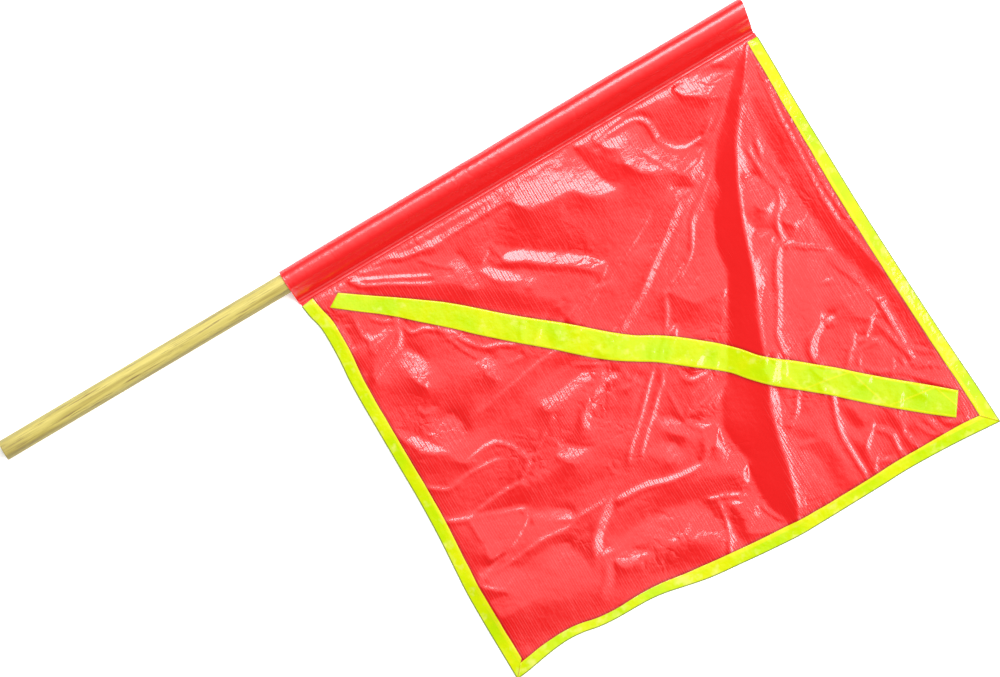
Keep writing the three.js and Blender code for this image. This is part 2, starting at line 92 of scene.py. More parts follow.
# ---- folds ----------------------------------------------------------------------------
# Thin ridges: (half width, slope, points). The cloth climbs across the line, away from
# the staff, and drops again behind it.
RIDGES = [
    # beside the staff, grip end to tip
    (2.2, .40, [(425, 31), (438, 39), (460, 43), (480, 44.5), (550, 44), (562, 46)]),
    (3.2, .40, [(468, 46), (482, 46)]),
    (1.2, .22, [(405, 30), (418, 33), (430, 36)]),
    (1.9, .42, [(384.5, 35), (390, 42), (398, 47.7), (415, 56.5), (432, 66.5), (449, 76.7)]),
    (1.7, .42, [(386, 31), (388, 35), (393, 39), (410, 47.5), (430, 58), (453, 70)]),
    (1.4, .30, [(383, 31), (385, 38), (391, 46)]),
    (1.2, .22, [(455, 52), (463, 62), (474, 72)]),
    (2.2, .36, [(508, 86), (517, 80)]),
    (1.6, .25, [(525, 80), (527, 92)]),
    (5.2, .36, [(530, 95), (545, 102), (560, 114), (578, 126), (594, 138), (604, 149)]),
    (1.6, .42, [(598, 134), (606, 145), (611, 153), (600, 163), (585, 168), (570, 175), (552, 181)]),
    (1.5, .34, [(594, 170), (576, 180), (556, 188)]),
    (1.2, .22, [(549, 163), (556, 162)]),
    (2.0, .42, [(667, 41), (680, 40), (700, 39.5), (712, 41), (719, 48), (721, 62), (721, 72), (728, 84), (740, 91), (752, 91), (765, 89), (778, 80), (786, 75)]),
    (1.6, .36, [(667, 37), (678, 34.5), (700, 31.5)]),
    (2.2, .34, [(703, 75), (710, 90), (720, 106)]),
    (2.2, .38, [(724, 113), (735, 110), (745, 109)]),
    (1.8, .42, [(746, 110), (760, 101), (775, 92), (790, 81)]),
    (1.6, .36, [(590, 170), (610, 164), (640, 151), (660, 140), (675, 132)]),
    (3.2, .46, [(588, 219), (605, 209), (630, 195), (650, 180), (680, 158), (700, 143), (712, 134)]),
    (1.6, .44, [(650, 208), (665, 203), (680, 195), (692, 185), (700, 173), (706, 162), (715, 152)]),
    (1.3, .26, [(715, 152), (735, 138), (760, 118), (785, 97)]),
    (1.8, .32, [(647, 210), (640, 225), (630, 239)]),
    (1.8, .36, [(627, 243), (640, 240), (636, 248)]),
    # grip side, above and below the strip
    (2.0, .50, [(368, 74), (368, 88), (371, 97), (368, 106)]),
    (2.0, .56, [(368, 105), (382, 101), (397, 97)]), (1.4, .46, [(371, 97), (384, 96), (396, 93)]),
    (2.6, .62, [(403, 93), (401, 102), (396, 112), (385, 119), (371, 126), (357, 132)]),
    (1.7, .56, [(397, 100), (391, 107), (380, 113), (368, 119), (358, 125)]),
    (1.3, .38, [(405, 95), (408, 107), (413, 112), (423, 113), (431, 120)]),
    (1.3, .36, [(384, 79), (392, 87), (401, 91)]),
    (2.4, .42, [(350, 73), (350, 80)]), (2.4, .42, [(350, 84), (350, 91)]),
    (1.2, .40, [(436, 124), (442, 140), (447, 153), (456, 168)]),
    (1.4, .42, [(437, 123), (447, 133), (455, 148), (465, 160), (480, 166), (491, 173)]),
    (1.0, .32, [(440, 128), (452, 147), (463, 158)]),
    (1.4, .30, [(481, 187), (492, 187)]),
    (2.8, .42, [(349, 193), (351, 201)]),
    (1.1, .28, [(378, 180), (381, 188), (392, 187)]),
    (1.6, .32, [(415, 220), (440, 212), (460, 208), (480, 205), (510, 200), (530, 200)]),
    (1.2, .36, [(541, 225), (550, 230), (560, 236)]), (1.1, .32, [(545, 221), (555, 228)]),
    (1.4, .38, [(345, 252), (355, 260), (365, 264), (385, 261), (410, 262), (420, 264)]),
    (1.8, .42, [(390, 250), (403, 247), (420, 246), (430, 250), (438, 260), (445, 275), (446, 282), (438, 288), (428, 294), (410, 294), (395, 295), (368, 298)]),
    (1.3, .34, [(447, 278), (456, 277), (470, 268), (485, 258), (491, 253)]),
    (4.0, .42, [(513, 278), (522, 268), (535, 260), (548, 254), (561, 250)]),
    (1.8, .42, [(532, 332), (545, 318), (560, 305), (575, 290), (590, 275), (598, 268)]),
    (1.8, .42, [(546, 334), (558, 321), (575, 306), (590, 291), (600, 283)]),
    (2.0, .42, [(565, 268), (575, 266), (582, 263)]), (1.6, .40, [(575, 261), (581, 270)]),
    (1.5, .35, [(600, 285), (605, 275), (620, 270), (632, 276)]),
    (1.5, .36, [(601, 326), (620, 312), (645, 302)]),
    (1.8, .40, [(622, 285), (626, 294), (640, 295)]),
    (1.5, .30, [(601, 298), (600, 322)]),
    (1.2, .24, [(605, 323), (630, 318), (656, 313)]),
    (2.0, .36, [(345, 291), (360, 298), (375, 303), (390, 309), (405, 314), (416, 320), (415, 330), (403, 338), (390, 345), (375, 351), (360, 354), (345, 357)]),
    (1.5, .30, [(364, 303), (365, 322)]),
    (2.6, .38, [(440, 345), (452, 350)]),
    (1.8, .38, [(340, 361), (360, 358), (380, 358), (400, 356), (420, 355), (440, 358), (460, 354), (480, 354), (494, 354)]),
    (1.8, .42, [(340, 363), (348, 372), (361, 382)]),
    (4.5, .40, [(495, 358), (485, 366), (475, 374), (466, 382), (459, 394)]),
    (2.6, .50, [(465, 400), (469, 400)]),
    (2.8, .44, [(500, 359), (530, 361), (545, 365), (560, 369), (585, 372), (600, 368), (608, 358), (613, 348), (612, 340), (606, 333)]),
    (3.5, .22, [(440, 436), (453, 426), (462, 410)]),
    (1.8, .44, [(588, 418), (585, 435), (580, 450), (573, 462)]),
    (1.8, .44, [(582, 406), (595, 410), (610, 418), (620, 425)]),
    (1.5, .28, [(600, 455), (615, 463), (635, 466)]),
    (1.6, .40, [(622, 422), (624, 438), (629, 452), (636, 464)]),
    # along the big fold
    (1.9, .44, [(801, 95), (785, 117), (770, 145), (757, 172), (748, 196), (738, 225), (728, 252), (715, 280), (703, 306)]),
    (1.8, .36, [(690, 344), (682, 356), (677, 372), (672, 390), (668, 410), (662, 435), (655, 455)]),
    (3.0, .42, [(690, 346), (685, 364)]), (3.2, .42, [(679, 373), (675, 386), (670, 402)]),
    (1.5, .25, [(722, 258), (712, 282), (707, 305)]),
    # tip side
    (1.6, .32, [(793, 128), (794, 150), (796, 165), (799, 172)]),
    (2.0, .32, [(805, 124), (802, 136)]), (1.8, .30, [(808, 154), (810, 168)]),
    (1.3, .32, [(810, 75), (817, 80), (825, 79)]),
    (2.2, .36, [(799, 175), (795, 188), (785, 198), (779, 210), (778, 222)]),
    (2.2, .42, [(748, 258), (756, 245), (765, 232), (772, 226), (782, 227), (790, 234), (802, 242), (812, 250)]),
    (2.2, .38, [(812, 252), (815, 270), (818, 285), (824, 305), (829, 325), (829, 360), (829, 388)]),
    (1.6, .38, [(845, 60), (838, 110), (836, 150), (834, 185), (833, 210), (836, 240), (842, 270), (848, 300)]),
    (1.2, .32, [(845, 100), (843, 150), (841, 200), (845, 245), (848, 275)]),
    (2.0, .44, [(757, 247), (748, 262), (740, 275), (732, 288), (724, 300), (721, 318)]),
    (3.2, .40, [(778, 312), (765, 315), (753, 322), (745, 333), (746, 344)]),
    (2.0, .36, [(790, 277), (800, 280), (806, 286)]),
    (1.8, .38, [(773, 357), (782, 348), (792, 345), (806, 354)]),
    (1.3, .30, [(776, 357), (790, 353), (807, 356)]),
    (2.0, .36, [(797, 348), (808, 340), (815, 338), (820, 350), (824, 370), (828, 385)]),
    (1.4, .34, [(768, 366), (777, 371), (781, 363)]), (1.4, .34, [(783, 372), (790, 381), (800, 386)]),
    (1.5, .36, [(804, 391), (810, 385), (815, 398)]), (1.4, .34, [(818, 386), (819, 400)]),
    (2.0, .36, [(688, 382), (696, 380), (704, 372), (710, 363)]),
    (2.2, .28, [(688, 405), (700, 408)]),
    (2.0, .34, [(742, 376), (738, 388), (733, 400), (728, 420), (728, 440), (729, 462)]),
    (2.0, .42, [(744, 441), (752, 434), (760, 430), (768, 437), (772, 445), (771, 460)]),
    (1.8, .36, [(738, 466), (745, 460), (756, 462)]),
    (2.4, .40, [(812, 454), (817, 466)]), (2.0, .36, [(784, 450), (786, 464)]),
    (1.6, .30, [(800, 452), (806, 462), (812, 467)]),
    (1.8, .34, [(828, 462), (838, 464)]),
    (1.4, .28, [(830, 398), (842, 403), (848, 408)]),
    (1.5, .36, [(802, 389), (812, 394), (819, 402), (828, 411), (837, 422)]),
    (1.4, .34, [(831, 362), (829, 372), (836, 382), (843, 388)]), (1.4, .34, [(838, 400), (832, 394), (824, 392)]),
    # small ones that run under the strip and make its tape glint
    (2.0, .46, [(505, 169), (513, 160)]), (2.0, .46, [(515, 181), (530, 169)]), (2.4, .46, [(534, 187), (544, 182)]),
    (1.8, .42, [(552, 195), (557, 195)]), (2.0, .46, [(563, 226), (575, 222), (589, 215)]), (1.6, .40, [(577, 233), (581, 229)]),
    (1.6, .44, [(606, 253), (618, 243)]), (1.6, .44, [(613, 258), (628, 246)]), (1.4, .38, [(620, 262), (632, 252)]),
    (3.8, .50, [(638, 286), (648, 282)]), (2.0, .40, [(654, 296), (659, 293)]),
    (4.2, .50, [(697, 335), (705, 329), (713, 322)]), (1.5, .36, [(718, 326), (709, 341)]),
    (2.4, .50, [(740, 352), (742, 359)]), (2.2, .46, [(737, 366), (736, 371)]), (1.8, .40, [(752, 386), (760, 384)]),
    (2.0, .42, [(776, 387), (782, 385)]), (2.6, .46, [(794, 422), (799, 417)]), (2.8, .46, [(815, 409), (819, 424)]),
]
# Broad faces that climb away from the staff: (slope, outline).
FACES = [
    (.38, [(560, 47), (600, 41), (625, 35), (641, 29), (643, 50), (650, 76), (656, 91), (646, 92), (632, 86), (622, 70), (600, 69), (575, 67)]),
    (.30, [(478, 71), (489, 69), (492, 88), (488, 106), (479, 103), (481, 88)]),
    (.42, [(502, 95), (508, 92), (515, 101), (525, 108), (531, 122), (523, 119), (509, 109)]),
    (.26, [(532, 118), (540, 116), (543, 130), (534, 132)]),
    (.42, [(485, 245), (489, 239), (510, 236), (546, 231), (536, 240), (510, 247), (491, 251)]),
    (.36, [(365, 108), (370, 90), (378, 98), (396, 99), (380, 103)]),
    (.38, [(393, 121), (399, 125), (406, 140), (403, 152), (393, 163), (389, 155), (388, 140), (390, 130)]),
    (.46, [(453, 170), (465, 169), (462, 182), (457, 193), (454, 185)]),
    (.40, [(352, 202), (360, 201), (367, 214), (380, 229), (382, 234), (370, 228), (356, 217)]),
    (.26, [(375, 212), (384, 203), (402, 202), (406, 215), (402, 228), (392, 238), (384, 233), (376, 219)]),
    (.36, [(382, 238), (396, 237), (390, 248), (383, 245)]),
    (.24, [(365, 302), (400, 313), (414, 322), (408, 333), (380, 346), (364, 345), (368, 330)]),
    (.40, [(366, 331), (373, 329), (378, 336), (368, 346), (361, 347)]),
    (.25, [(417, 325), (440, 335), (456, 345), (445, 353), (398, 353), (420, 338)]),
    (.38, [(350, 362), (378, 361), (372, 375), (362, 383), (350, 373)]),
    (.32, [(409, 384), (418, 376), (432, 371), (437, 372), (434, 382), (420, 388), (411, 391)]),
    (.36, [(473, 292), (485, 286), (492, 295), (503, 301), (488, 304), (482, 306)]),
    (.34, [(468, 412), (480, 407), (490, 412), (507, 425), (490, 425), (472, 421)]),
    (.26, [(508, 395), (525, 392), (529, 405), (518, 413), (510, 405)]),
    (.32, [(560, 413), (572, 409), (576, 430), (578, 454), (565, 441), (545, 432), (557, 425)]),
    (.34, [(574, 309), (590, 317), (597, 330), (592, 339), (582, 330)]),
    (.34, [(563, 355), (569, 340), (579, 339), (578, 355)]),
    (.42, [(604, 335), (619, 341), (620, 353), (612, 363), (603, 360)]),
    (.26, [(618, 338), (636, 334), (634, 345), (622, 352)]),
    (.46, [(607, 422), (622, 419), (618, 432), (612, 441), (608, 432)]),
    (.28, [(612, 392), (625, 376), (634, 386), (638, 396), (622, 397)]),
    (.38, [(668, 44), (690, 45), (713, 43), (706, 52), (700, 62), (696, 75), (705, 90), (721, 108), (710, 103), (690, 91), (680, 75), (685, 60), (673, 52)]),
    (.26, [(722, 80), (745, 94), (752, 100), (742, 110), (728, 108), (712, 88), (708, 66)]),
    (.44, [(760, 36), (770, 32), (800, 38), (812, 44), (823, 51), (806, 62), (801, 66), (790, 62), (779, 54), (764, 45)]),
    (.48, [(708, 121), (723, 130), (712, 137), (705, 136)]),
    (.15, [(655, 210), (690, 191), (712, 161), (746, 150), (726, 165), (713, 190), (715, 222), (700, 234), (668, 230)]),
    (.40, [(774, 149), (785, 151), (783, 170), (778, 187), (772, 181)]),
    (.38, [(789, 191), (797, 195), (793, 213), (786, 205)]),
    (.28, [(756, 200), (770, 206), (766, 214), (757, 208)]),
    (.38, [(807, 253), (813, 257), (818, 286), (810, 276)]),
    (.40, [(798, 300), (818, 299), (823, 306), (811, 313)]),
    (.18, [(800, 262), (812, 290), (822, 320), (812, 334), (800, 322), (796, 290)]),
    (.22, [(724, 262), (738, 252), (728, 282), (712, 312), (706, 306)]),
    (.16, [(340, 384), (440, 385), (442, 402), (340, 403)]),
    (.20, [(470, 398), (500, 393), (540, 396), (570, 404), (552, 414), (500, 410), (474, 406)]),
    (.47, [(695, 326), (701, 323), (706, 326), (704, 334), (698, 337), (694, 333)]),
]
# Valleys and backs of folds, which fall away from the staff: (half width, slope, points).
VALLEYS = [
    (7.0, .24, [(398, 56), (440, 83), (480, 109), (520, 143), (550, 167)]),
    (5.0, .18, [(432, 34), (480, 34), (520, 36)]),
    (7.0, .14, [(640, 34), (655, 60), (668, 90)]),
    (9.0, .16, [(610, 74), (640, 100), (690, 108), (715, 112)]),
    (8.0, .12, [(740, 45), (738, 70), (760, 78)]),
    (7.0, .14, [(560, 62), (590, 80), (585, 105)]),
    (6.5, .30, [(348, 116), (365, 111), (384, 106)]),
    (5.0, .20, [(352, 46), (352, 60), (365, 66)]),
    (6.0, .28, [(420, 226), (450, 217), (480, 213), (510, 210), (540, 212)]),
    (5.0, .18, [(345, 235), (365, 240), (400, 243)]),
    (7.0, .16, [(350, 284), (375, 284), (400, 272)]),
    (5.5, .26, [(452, 290), (480, 278), (510, 262), (540, 250), (558, 242)]),
    (4.5, .28, [(523, 281), (545, 274), (562, 267), (590, 256)]),
    (3.0, .26, [(556, 297), (575, 277), (592, 264)]),
    (5.5, .30, [(372, 304), (400, 307), (430, 309), (460, 311), (492, 309)]),
    (6.0, .20, [(430, 317), (480, 325), (505, 329)]),
    (9.0, .14, [(520, 320), (545, 345), (560, 358)]),
    (3.5, .32, [(382, 366), (400, 362), (420, 361.5), (440, 366)]),
    (6.0, .22, [(450, 368), (468, 362), (462, 378)]),
    (8.0, .34, [(468, 396), (485, 386), (512, 382), (540, 383), (570, 389), (600, 401), (622, 416)]),
    (13., .24, [(338, 418), (370, 424), (400, 431), (430, 436), (450, 446)]),
    (10., .30, [(452, 443), (480, 434), (510, 435), (540, 448), (562, 459)]),
    (5.0, .38, [(594, 420), (593, 440), (591, 462)]),
    (6.5, .30, [(600, 223), (640, 199), (680, 176), (712, 152), (740, 127), (770, 105), (792, 89)]),
    (2.5, .24, [(652, 152), (668, 141), (674, 137)]),
    (8.0, .16, [(655, 236), (680, 250), (690, 240)]),
    (7.0, .30, [(829, 80), (824, 110), (821, 150), (819, 200), (826, 240), (836, 290), (842, 340), (843, 392)]),
    (5.0, .18, [(812, 44), (830, 38), (842, 33)]),
    (7.0, .18, [(758, 186), (770, 196), (786, 186)]),
    (2.4, .30, [(812, 350), (819, 368), (825, 384)]),
    (4.5, .36, [(745, 402), (746, 420)]), (3.6, .36, [(736, 432), (734, 463)]),
    (3.6, .32, [(779, 428), (778, 464)]),
    (3.0, .34, [(812, 408), (830, 422), (846, 438)]),
    (7.0, .20, [(690, 395), (705, 425), (700, 460)]),
    (6.0, .16, [(640, 165), (610, 185), (590, 200)]),
]
# The back of the big fold that runs from the tip corner to the fly edge: a dark face
# which climbs towards the tip, so its crest is its right-hand side.
BIG_BACK = [(846, 31), (833, 49), (824, 61), (808, 80), (792, 101), (784, 112), (766, 146), (753, 176), (744, 200), (733, 232), (722, 258), (702, 302), (687, 334), (676, 361), (670, 391), (665, 411), (657, 430), (650, 446), (647, 457), (643, 468), (637, 466), (630, 449), (628, 432), (628, 414), (634, 398), (633, 384), (629, 369), (628, 358), (631, 345), (641, 331), (660, 313), (690, 262), (711, 224), (717, 190), (730, 165), (747, 148), (751, 128), (766, 109), (775, 99), (787, 88), (794, 80), (810, 61), (824, 49)]
BESIDE_BACK = [(843, 30), (820, 49), (806, 61), (790, 81), (769, 99), (750, 124), (742, 119), (760, 98), (784, 74), (804, 51), (830, 32)]
# its climb along the staff and away from it, at distances from the staff in steps
BIG_SLOPE = [(36, .44, .27), (120, .44, .26), (180, .42, .17), (260, .40, .14), (340, .38, .07), (470, .36, .02)]
TOWARDS_LIGHT = (-0.607, 0.794)     # climb that faces the long softbox
TOWARDS_SECOND = (-0.888, -0.459)   # climb that faces the one beside it
FOLD_PITCH = 1.25
S0, S1, T0, T1 = 316.0, 882.0, 18.0, 500.0


def fold_map():
    """Height of the cloth above flat, in millimetres, on a grid of the fold map.

    Each fold says how steep the cloth is in a few places. The heights are the surface
    that comes closest to all of those slopes at once and is held down at its edges."""
    ns, nt = int((S1 - S0) / FOLD_PITCH) + 1, int((T1 - T0) / FOLD_PITCH) + 1
    s = S0 + FOLD_PITCH * np.arange(ns)
    t = T0 + FOLD_PITCH * np.arange(nt)
    S, T = np.meshgrid(s, t, indexing="ij")
    rng = np.random.default_rng(11)

    def noise(wave, stretch=1.0, turn=0.0):
        """Smooth noise in [-1, 1] with about this wavelength, stretched along a turned axis."""
        c, w = math.cos(turn), math.sin(turn)
        fs, ft = ((S - S0) * c + (T - T0) * w) / (wave * stretch), ((T - T0) * c - (S - S0) * w) / wave
        fs, ft = fs - fs.min() + rng.uniform(), ft - ft.min() + rng.uniform()
        g = rng.uniform(-1, 1, (int(fs.max()) + 3, int(ft.max()) + 3))
        i, j = fs.astype(int), ft.astype(int)
        a, b = fs - i, ft - j
        a, b = a * a * (3 - 2 * a), b * b * (3 - 2 * b)
        return (g[i, j] * (1 - a) * (1 - b) + g[i + 1, j] * a * (1 - b) + g[i, j + 1] * (1 - a) * b + g[i + 1, j + 1] * a * b)

    def creases(wave, stretch, turn):
        return 1 - np.sqrt(noise(wave, stretch, turn) ** 2 + 0.0009)

    # the cloth's own unevenness: soft billows and a fine crumple, with sharp creases
    rough = 1.5 * noise(64, 1.4, 0.5) + 0.8 * noise(30, 1.3, -0.4) + 0.26 * noise(13, 1.2, 0.9)
    rough += 1.0 * creases(40, 1.8, 0.6) * (0.6 + 0.4 * noise(90)) + 0.7 * creases(34, 2.2, -0.7) * (0.5 + 0.5 * noise(70))
    rough += 0.35 * creases(17, 1.5, 0.2) * (0.5 + 0.5 * noise(60)) + 0.2 * creases(10, 1.3, 1.2) * (0.5 + 0.5 * noise(50))
    gs, gt = np.gradient(rough, FOLD_PITCH)
    base = 0.34
    wsum = np.full_like(S, base)
    gsum_s, gsum_t = base * gs, base * gt

    def near(points, reach):
        """Distance to a line of points, and its direction at the closest place."""
        best = np.full_like(S, 1e9)
        ds, dt = np.zeros_like(S), np.zeros_like(S)
        along, side = np.zeros_like(S), np.zeros_like(S)
        total = sum(math.dist(p, q) for p, q in zip(points, points[1:]))
        run = 0.0
        for (a0, b0), (a1, b1) in zip(points, points[1:]):
            length = math.dist((a0, b0), (a1, b1))
            i0 = max(0, int((min(a0, a1) - reach - S0) / FOLD_PITCH)); i1 = int((max(a0, a1) + reach - S0) / FOLD_PITCH) + 2
            j0 = max(0, int((min(b0, b1) - reach - T0) / FOLD_PITCH)); j1 = int((max(b0, b1) + reach - T0) / FOLD_PITCH) + 2
            box = (slice(i0, i1), slice(j0, j1))
            u = np.clip(((S[box] - a0) * (a1 - a0) + (T[box] - b0) * (b1 - b0)) / length**2, 0, 1)
            r = np.hypot(S[box] - a0 - u * (a1 - a0), T[box] - b0 - u * (b1 - b0))
            closer = r < best[box]
            best[box] = np.where(closer, r, best[box])
            ds[box] = np.where(closer, (a1 - a0) / length, ds[box])
            dt[box] = np.where(closer, (b1 - b0) / length, dt[box])
            along[box] = np.where(closer, (run + u * length) / total, along[box])
            side[box] = np.where(closer, ((T[box] - b0) * (a1 - a0) - (S[box] - a0) * (b1 - b0)) / length, side[box])
            run += length
        return best, ds, dt, along, side

    def smooth_line(points, n=4):
        """Catmull-Rom through the points, so that ridges curve."""
        if len(points) < 3:
            return points
        p = [points[0]] + list(points) + [points[-1]]
        out = []
        for k in range(1, len(p) - 2):
            for m in range(n):
                u = m / n
                out.append(tuple(0.5 * (2 * p[k][c] + (p[k + 1][c] - p[k - 1][c]) * u + (2 * p[k - 1][c] - 5 * p[k][c] + 4 * p[k + 1][c] - p[k + 2][c]) * u**2 + (3 * p[k][c] - p[k - 1][c] - 3 * p[k + 1][c] + p[k + 2][c]) * u**3) for c in (0, 1)))
        return out + [points[-1]]

    def press(mask, weight, a, b):
        nonlocal wsum, gsum_s, gsum_t
        wsum = wsum + weight * mask
        gsum_s = gsum_s + weight * mask * a
        gsum_t = gsum_t + weight * mask * b

    def across(ds, dt, mix, lights=(TOWARDS_LIGHT,)):
        """The climb's direction: across the line, on the side of a light, mixed with it."""
        ns_, nt_ = -dt, ds
        best, a, b = np.full_like(S, -1.0), np.zeros_like(S), np.zeros_like(S)
        for la, lb in lights:
            facing = ns_ * la + nt_ * lb
            sign = np.where(facing < 0, -1.0, 1.0)
            # the long softbox wins ties
            score = np.abs(facing) + (0.12 if (la, lb) == TOWARDS_LIGHT else 0.0)
            better = score > best
            # a line that runs askew to its light also climbs a little along itself
            m = mix + (0.80 - mix) * np.clip((0.96 - np.abs(facing)) / 0.3, 0, 1) * (len(lights) > 1)
            a = np.where(better, ns_ * sign * (1 - m) + la * m, a)
            b = np.where(better, nt_ * sign * (1 - m) + lb * m, b)
            best = np.where(better, score, best)
        r = np.maximum(np.hypot(a, b), 1e-6)
        return a / r, b / r

    for width, slope, points in RIDGES:
        r, ds, dt, along, side = near(smooth_line(points), width * 3 + 6)
        fade = np.clip(np.minimum(along, 1 - along) * 9 + 0.35, 0, 1)
        mask = np.exp(-((r / width) ** 4)) * fade
        a, b = across(ds, dt, 0.35, (TOWARDS_LIGHT, TOWARDS_SECOND))
        climb = min(slope * 1.08, 0.42)
        press(mask, 6.0, climb * a, climb * b)
        # just past its crest the cloth drops again
        past = side * np.sign(-dt * a + ds * b)
        back = width * 1.5 + 1.1
        mask = np.exp(-(((past - back) / (0.7 + 0.4 * width)) ** 2)) * fade * (r < back + 4)
        press(mask, 2.6, -0.75 * slope * a, -0.75 * slope * b)
    for width, slope, points in VALLEYS:
        r, ds, dt, along, _ = near(smooth_line(points), width * 2.5 + 4)
        mask = np.exp(-((r / width) ** 3)) * np.clip(np.minimum(along, 1 - along) * 6 + 0.3, 0, 1)
        a, b = across(ds, dt, 0.55)
        press(mask, 1.2, -slope * a, -slope * b)

    def inside(outline, soft):
        """1 inside an outline and 0 outside, with an edge this soft."""
        odd = np.zeros(S.shape, bool)
        n = len(outline)
        for k in range(n):
            (a0, b0), (a1, b1) = outline[k], outline[(k + 1) % n]
            if b0 == b1:
                continue
            hit = ((b0 > T) != (b1 > T)) & (S < (a1 - a0) * (T - b0) / (b1 - b0) + a0)
            odd ^= hit
        r = near(list(outline) + [outline[0]], 12)[0]
        return np.clip(0.5 + np.where(odd, r, -r) / (2 * soft), 0, 1)

    for slope, outline in FACES:
        mask = inside(outline, 1.6)
        climb = min(slope * 1.08, 0.41)
        press(mask, 3.5, climb * TOWARDS_LIGHT[0], climb * TOWARDS_LIGHT[1])
    mask = inside(BIG_BACK, 1.8 + 1.6 * np.clip((T - 220) / 120, 0, 1))
    press(mask, 14.0, np.interp(T, [t for t, _, _ in BIG_SLOPE], [a for _, a, _ in BIG_SLOPE]), np.interp(T, [t for t, _, _ in BIG_SLOPE], [b for _, _, b in BIG_SLOPE]))

    press(inside(BESIDE_BACK, 2.0), 4.0, 0.03, 0.03)
    back_face = inside(BIG_BACK, 2.6 + 2.6 * np.clip((T - 220) / 120, 0, 1))

    gs, gt = gsum_s / wsum, gsum_t / wsum
    # how strongly heights are held: to the floor at the outer edges and at the weld
    edge_s, edge_t = np.minimum(S - 324, 866 - S), np.minimum(T - 30.0, 478 - T)
    hold = 0.0004 + 0.6 * np.exp(-np.maximum(edge_t, 0) / 3.0) * (T < 100) + 0.02 * np.exp(-np.maximum(edge_s, 0) / 7.0) + 0.02 * np.exp(-np.maximum(edge_t, 0) / 7.0)
    rest = np.full_like(S, 5.0)
    rest = rest * np.clip((T - 30) / 25, 0, 1) * np.clip(np.minimum(S - 326, 864 - S) / 20, 0, 1) * np.clip((482 - T) / 20, 0, 1)
    hold_p2 = hold * FOLD_PITCH**2
    ws = 0.5 * (wsum[1:] + wsum[:-1])
    wt = 0.5 * (wsum[:, 1:] + wsum[:, :-1])
    g_s = 0.5 * (gs[1:] + gs[:-1]) * FOLD_PITCH * STEP
    g_t = 0.5 * (gt[:, 1:] + gt[:, :-1]) * FOLD_PITCH * STEP

    def apply(h):
        out = hold_p2 * h
        f = ws * (h[1:] - h[:-1])
        out[1:] += f
        out[:-1] -= f
        f = wt * (h[:, 1:] - h[:, :-1])
        out[:, 1:] += f
        out[:, :-1] -= f
        return out

    rhs = hold_p2 * rest
    f = ws * g_s
    rhs[1:] += f
    rhs[:-1] -= f
    f = wt * g_t
    rhs[:, 1:] += f
    rhs[:, :-1] -= f
    diag = hold_p2.copy()
    diag[1:] += ws; diag[:-1] += ws; diag[:, 1:] += wt; diag[:, :-1] += wt
    h = rest.copy()
    r = rhs - apply(h)
    z = r / diag
    p = z.copy()
    rz = float((r * z).sum())
    stop = rz * 1e-8
    for _ in range(900):
        q = apply(p)
        a = rz / float((p * q).sum())
        h += a * p
        r -= a * q
        z = r / diag
        new = float((r * z).sum())
        if new < stop:
            break
        p = z + (new / rz) * p
        rz = new
    # where it would sink through the floor it is lifted together with its surroundings
    reach = int(20 / FOLD_PITCH)
    bell = np.exp(-0.5 * (np.arange(-3 * reach, 3 * reach + 1) / reach) ** 2)
    bell /= bell.sum()
    for _ in range(5):
        low = np.maximum(0.5 - h, 0) * rest / 5
        for axis in (0, 1):
            low = np.apply_along_axis(lambda v: np.convolve(v, bell, "same"), axis, low)
        h = h + 1.5 * low * rest / 5
    # the floor stops the rest from below, softly
    return 0.5 * (h + np.sqrt(h * h + 0.25)) - 0.25 * np.exp(-(h**2)), back_face


def sample(grid, x, d):
    """Height at (x, d), in millimetres, between the fold map's grid points."""
    s, t = fold_step(x, d)
    fs = np.clip((s - S0) / FOLD_PITCH, 0, grid.shape[0] - 1.001)
    ft = np.clip((t - T0) / FOLD_PITCH, 0, grid.shape[1] - 1.001)
    i, j = fs.astype(int), ft.astype(int)
    a, b = fs - i, ft - j
    return grid[i, j] * (1 - a) * (1 - b) + grid[i + 1, j] * a * (1 - b) + grid[i, j + 1] * (1 - a) * b + grid[i + 1, j + 1] * a * b


# ---- smooth edges ----------------------------------------------------------------------
class Edge:
    """A smooth line through (x, d) points, by distance along it in millimetres."""

    def __init__(self, points):
        p = [np.array(q, float) for q in points]
        p = [2 * p[0] - p[1]] + p + [2 * p[-1] - p[-2]]
        line = []
        for k in range(1, len(p) - 2):
            for m in range(12):
                u = m / 12
                line.append(0.5 * (2 * p[k] + (p[k + 1] - p[k - 1]) * u + (2 * p[k - 1] - 5 * p[k] + 4 * p[k + 1] - p[k + 2]) * u**2 + (3 * p[k] - p[k - 1] - 3 * p[k + 1] + p[k + 2]) * u**3))
        line.append(p[-2])
        self.line = np.array(line)
        step = np.hypot(*np.diff(self.line, axis=0).T)
        self.run = np.concatenate([[0], np.cumsum(step)])
        self.length = float(self.run[-1])

    def at(self, s):
        """Points and unit directions at distances s, straight on beyond the ends."""
        s = np.asarray(s, float)
        inside = np.clip(s, 0, self.length)
        x, d = np.interp(inside, self.run, self.line[:, 0]), np.interp(inside, self.run, self.line[:, 1])
        a, b = np.clip(inside - 2.5, 0, self.length), np.clip(inside + 2.5, 0, self.length)
        tx = np.interp(b, self.run, self.line[:, 0]) - np.interp(a, self.run, self.line[:, 0])
        td = np.interp(b, self.run, self.line[:, 1]) - np.interp(a, self.run, self.line[:, 1])
        r = np.hypot(tx, td)
        tx, td = tx / r, td / r
        over = s - inside
        return x + tx * over, d + td * over, tx, td

    def inset(self, s, o):
        """The point at distance s, moved o to the right of the direction of travel."""
        x, d, tx, td = self.at(s)
        return x + td * o, d - tx * o


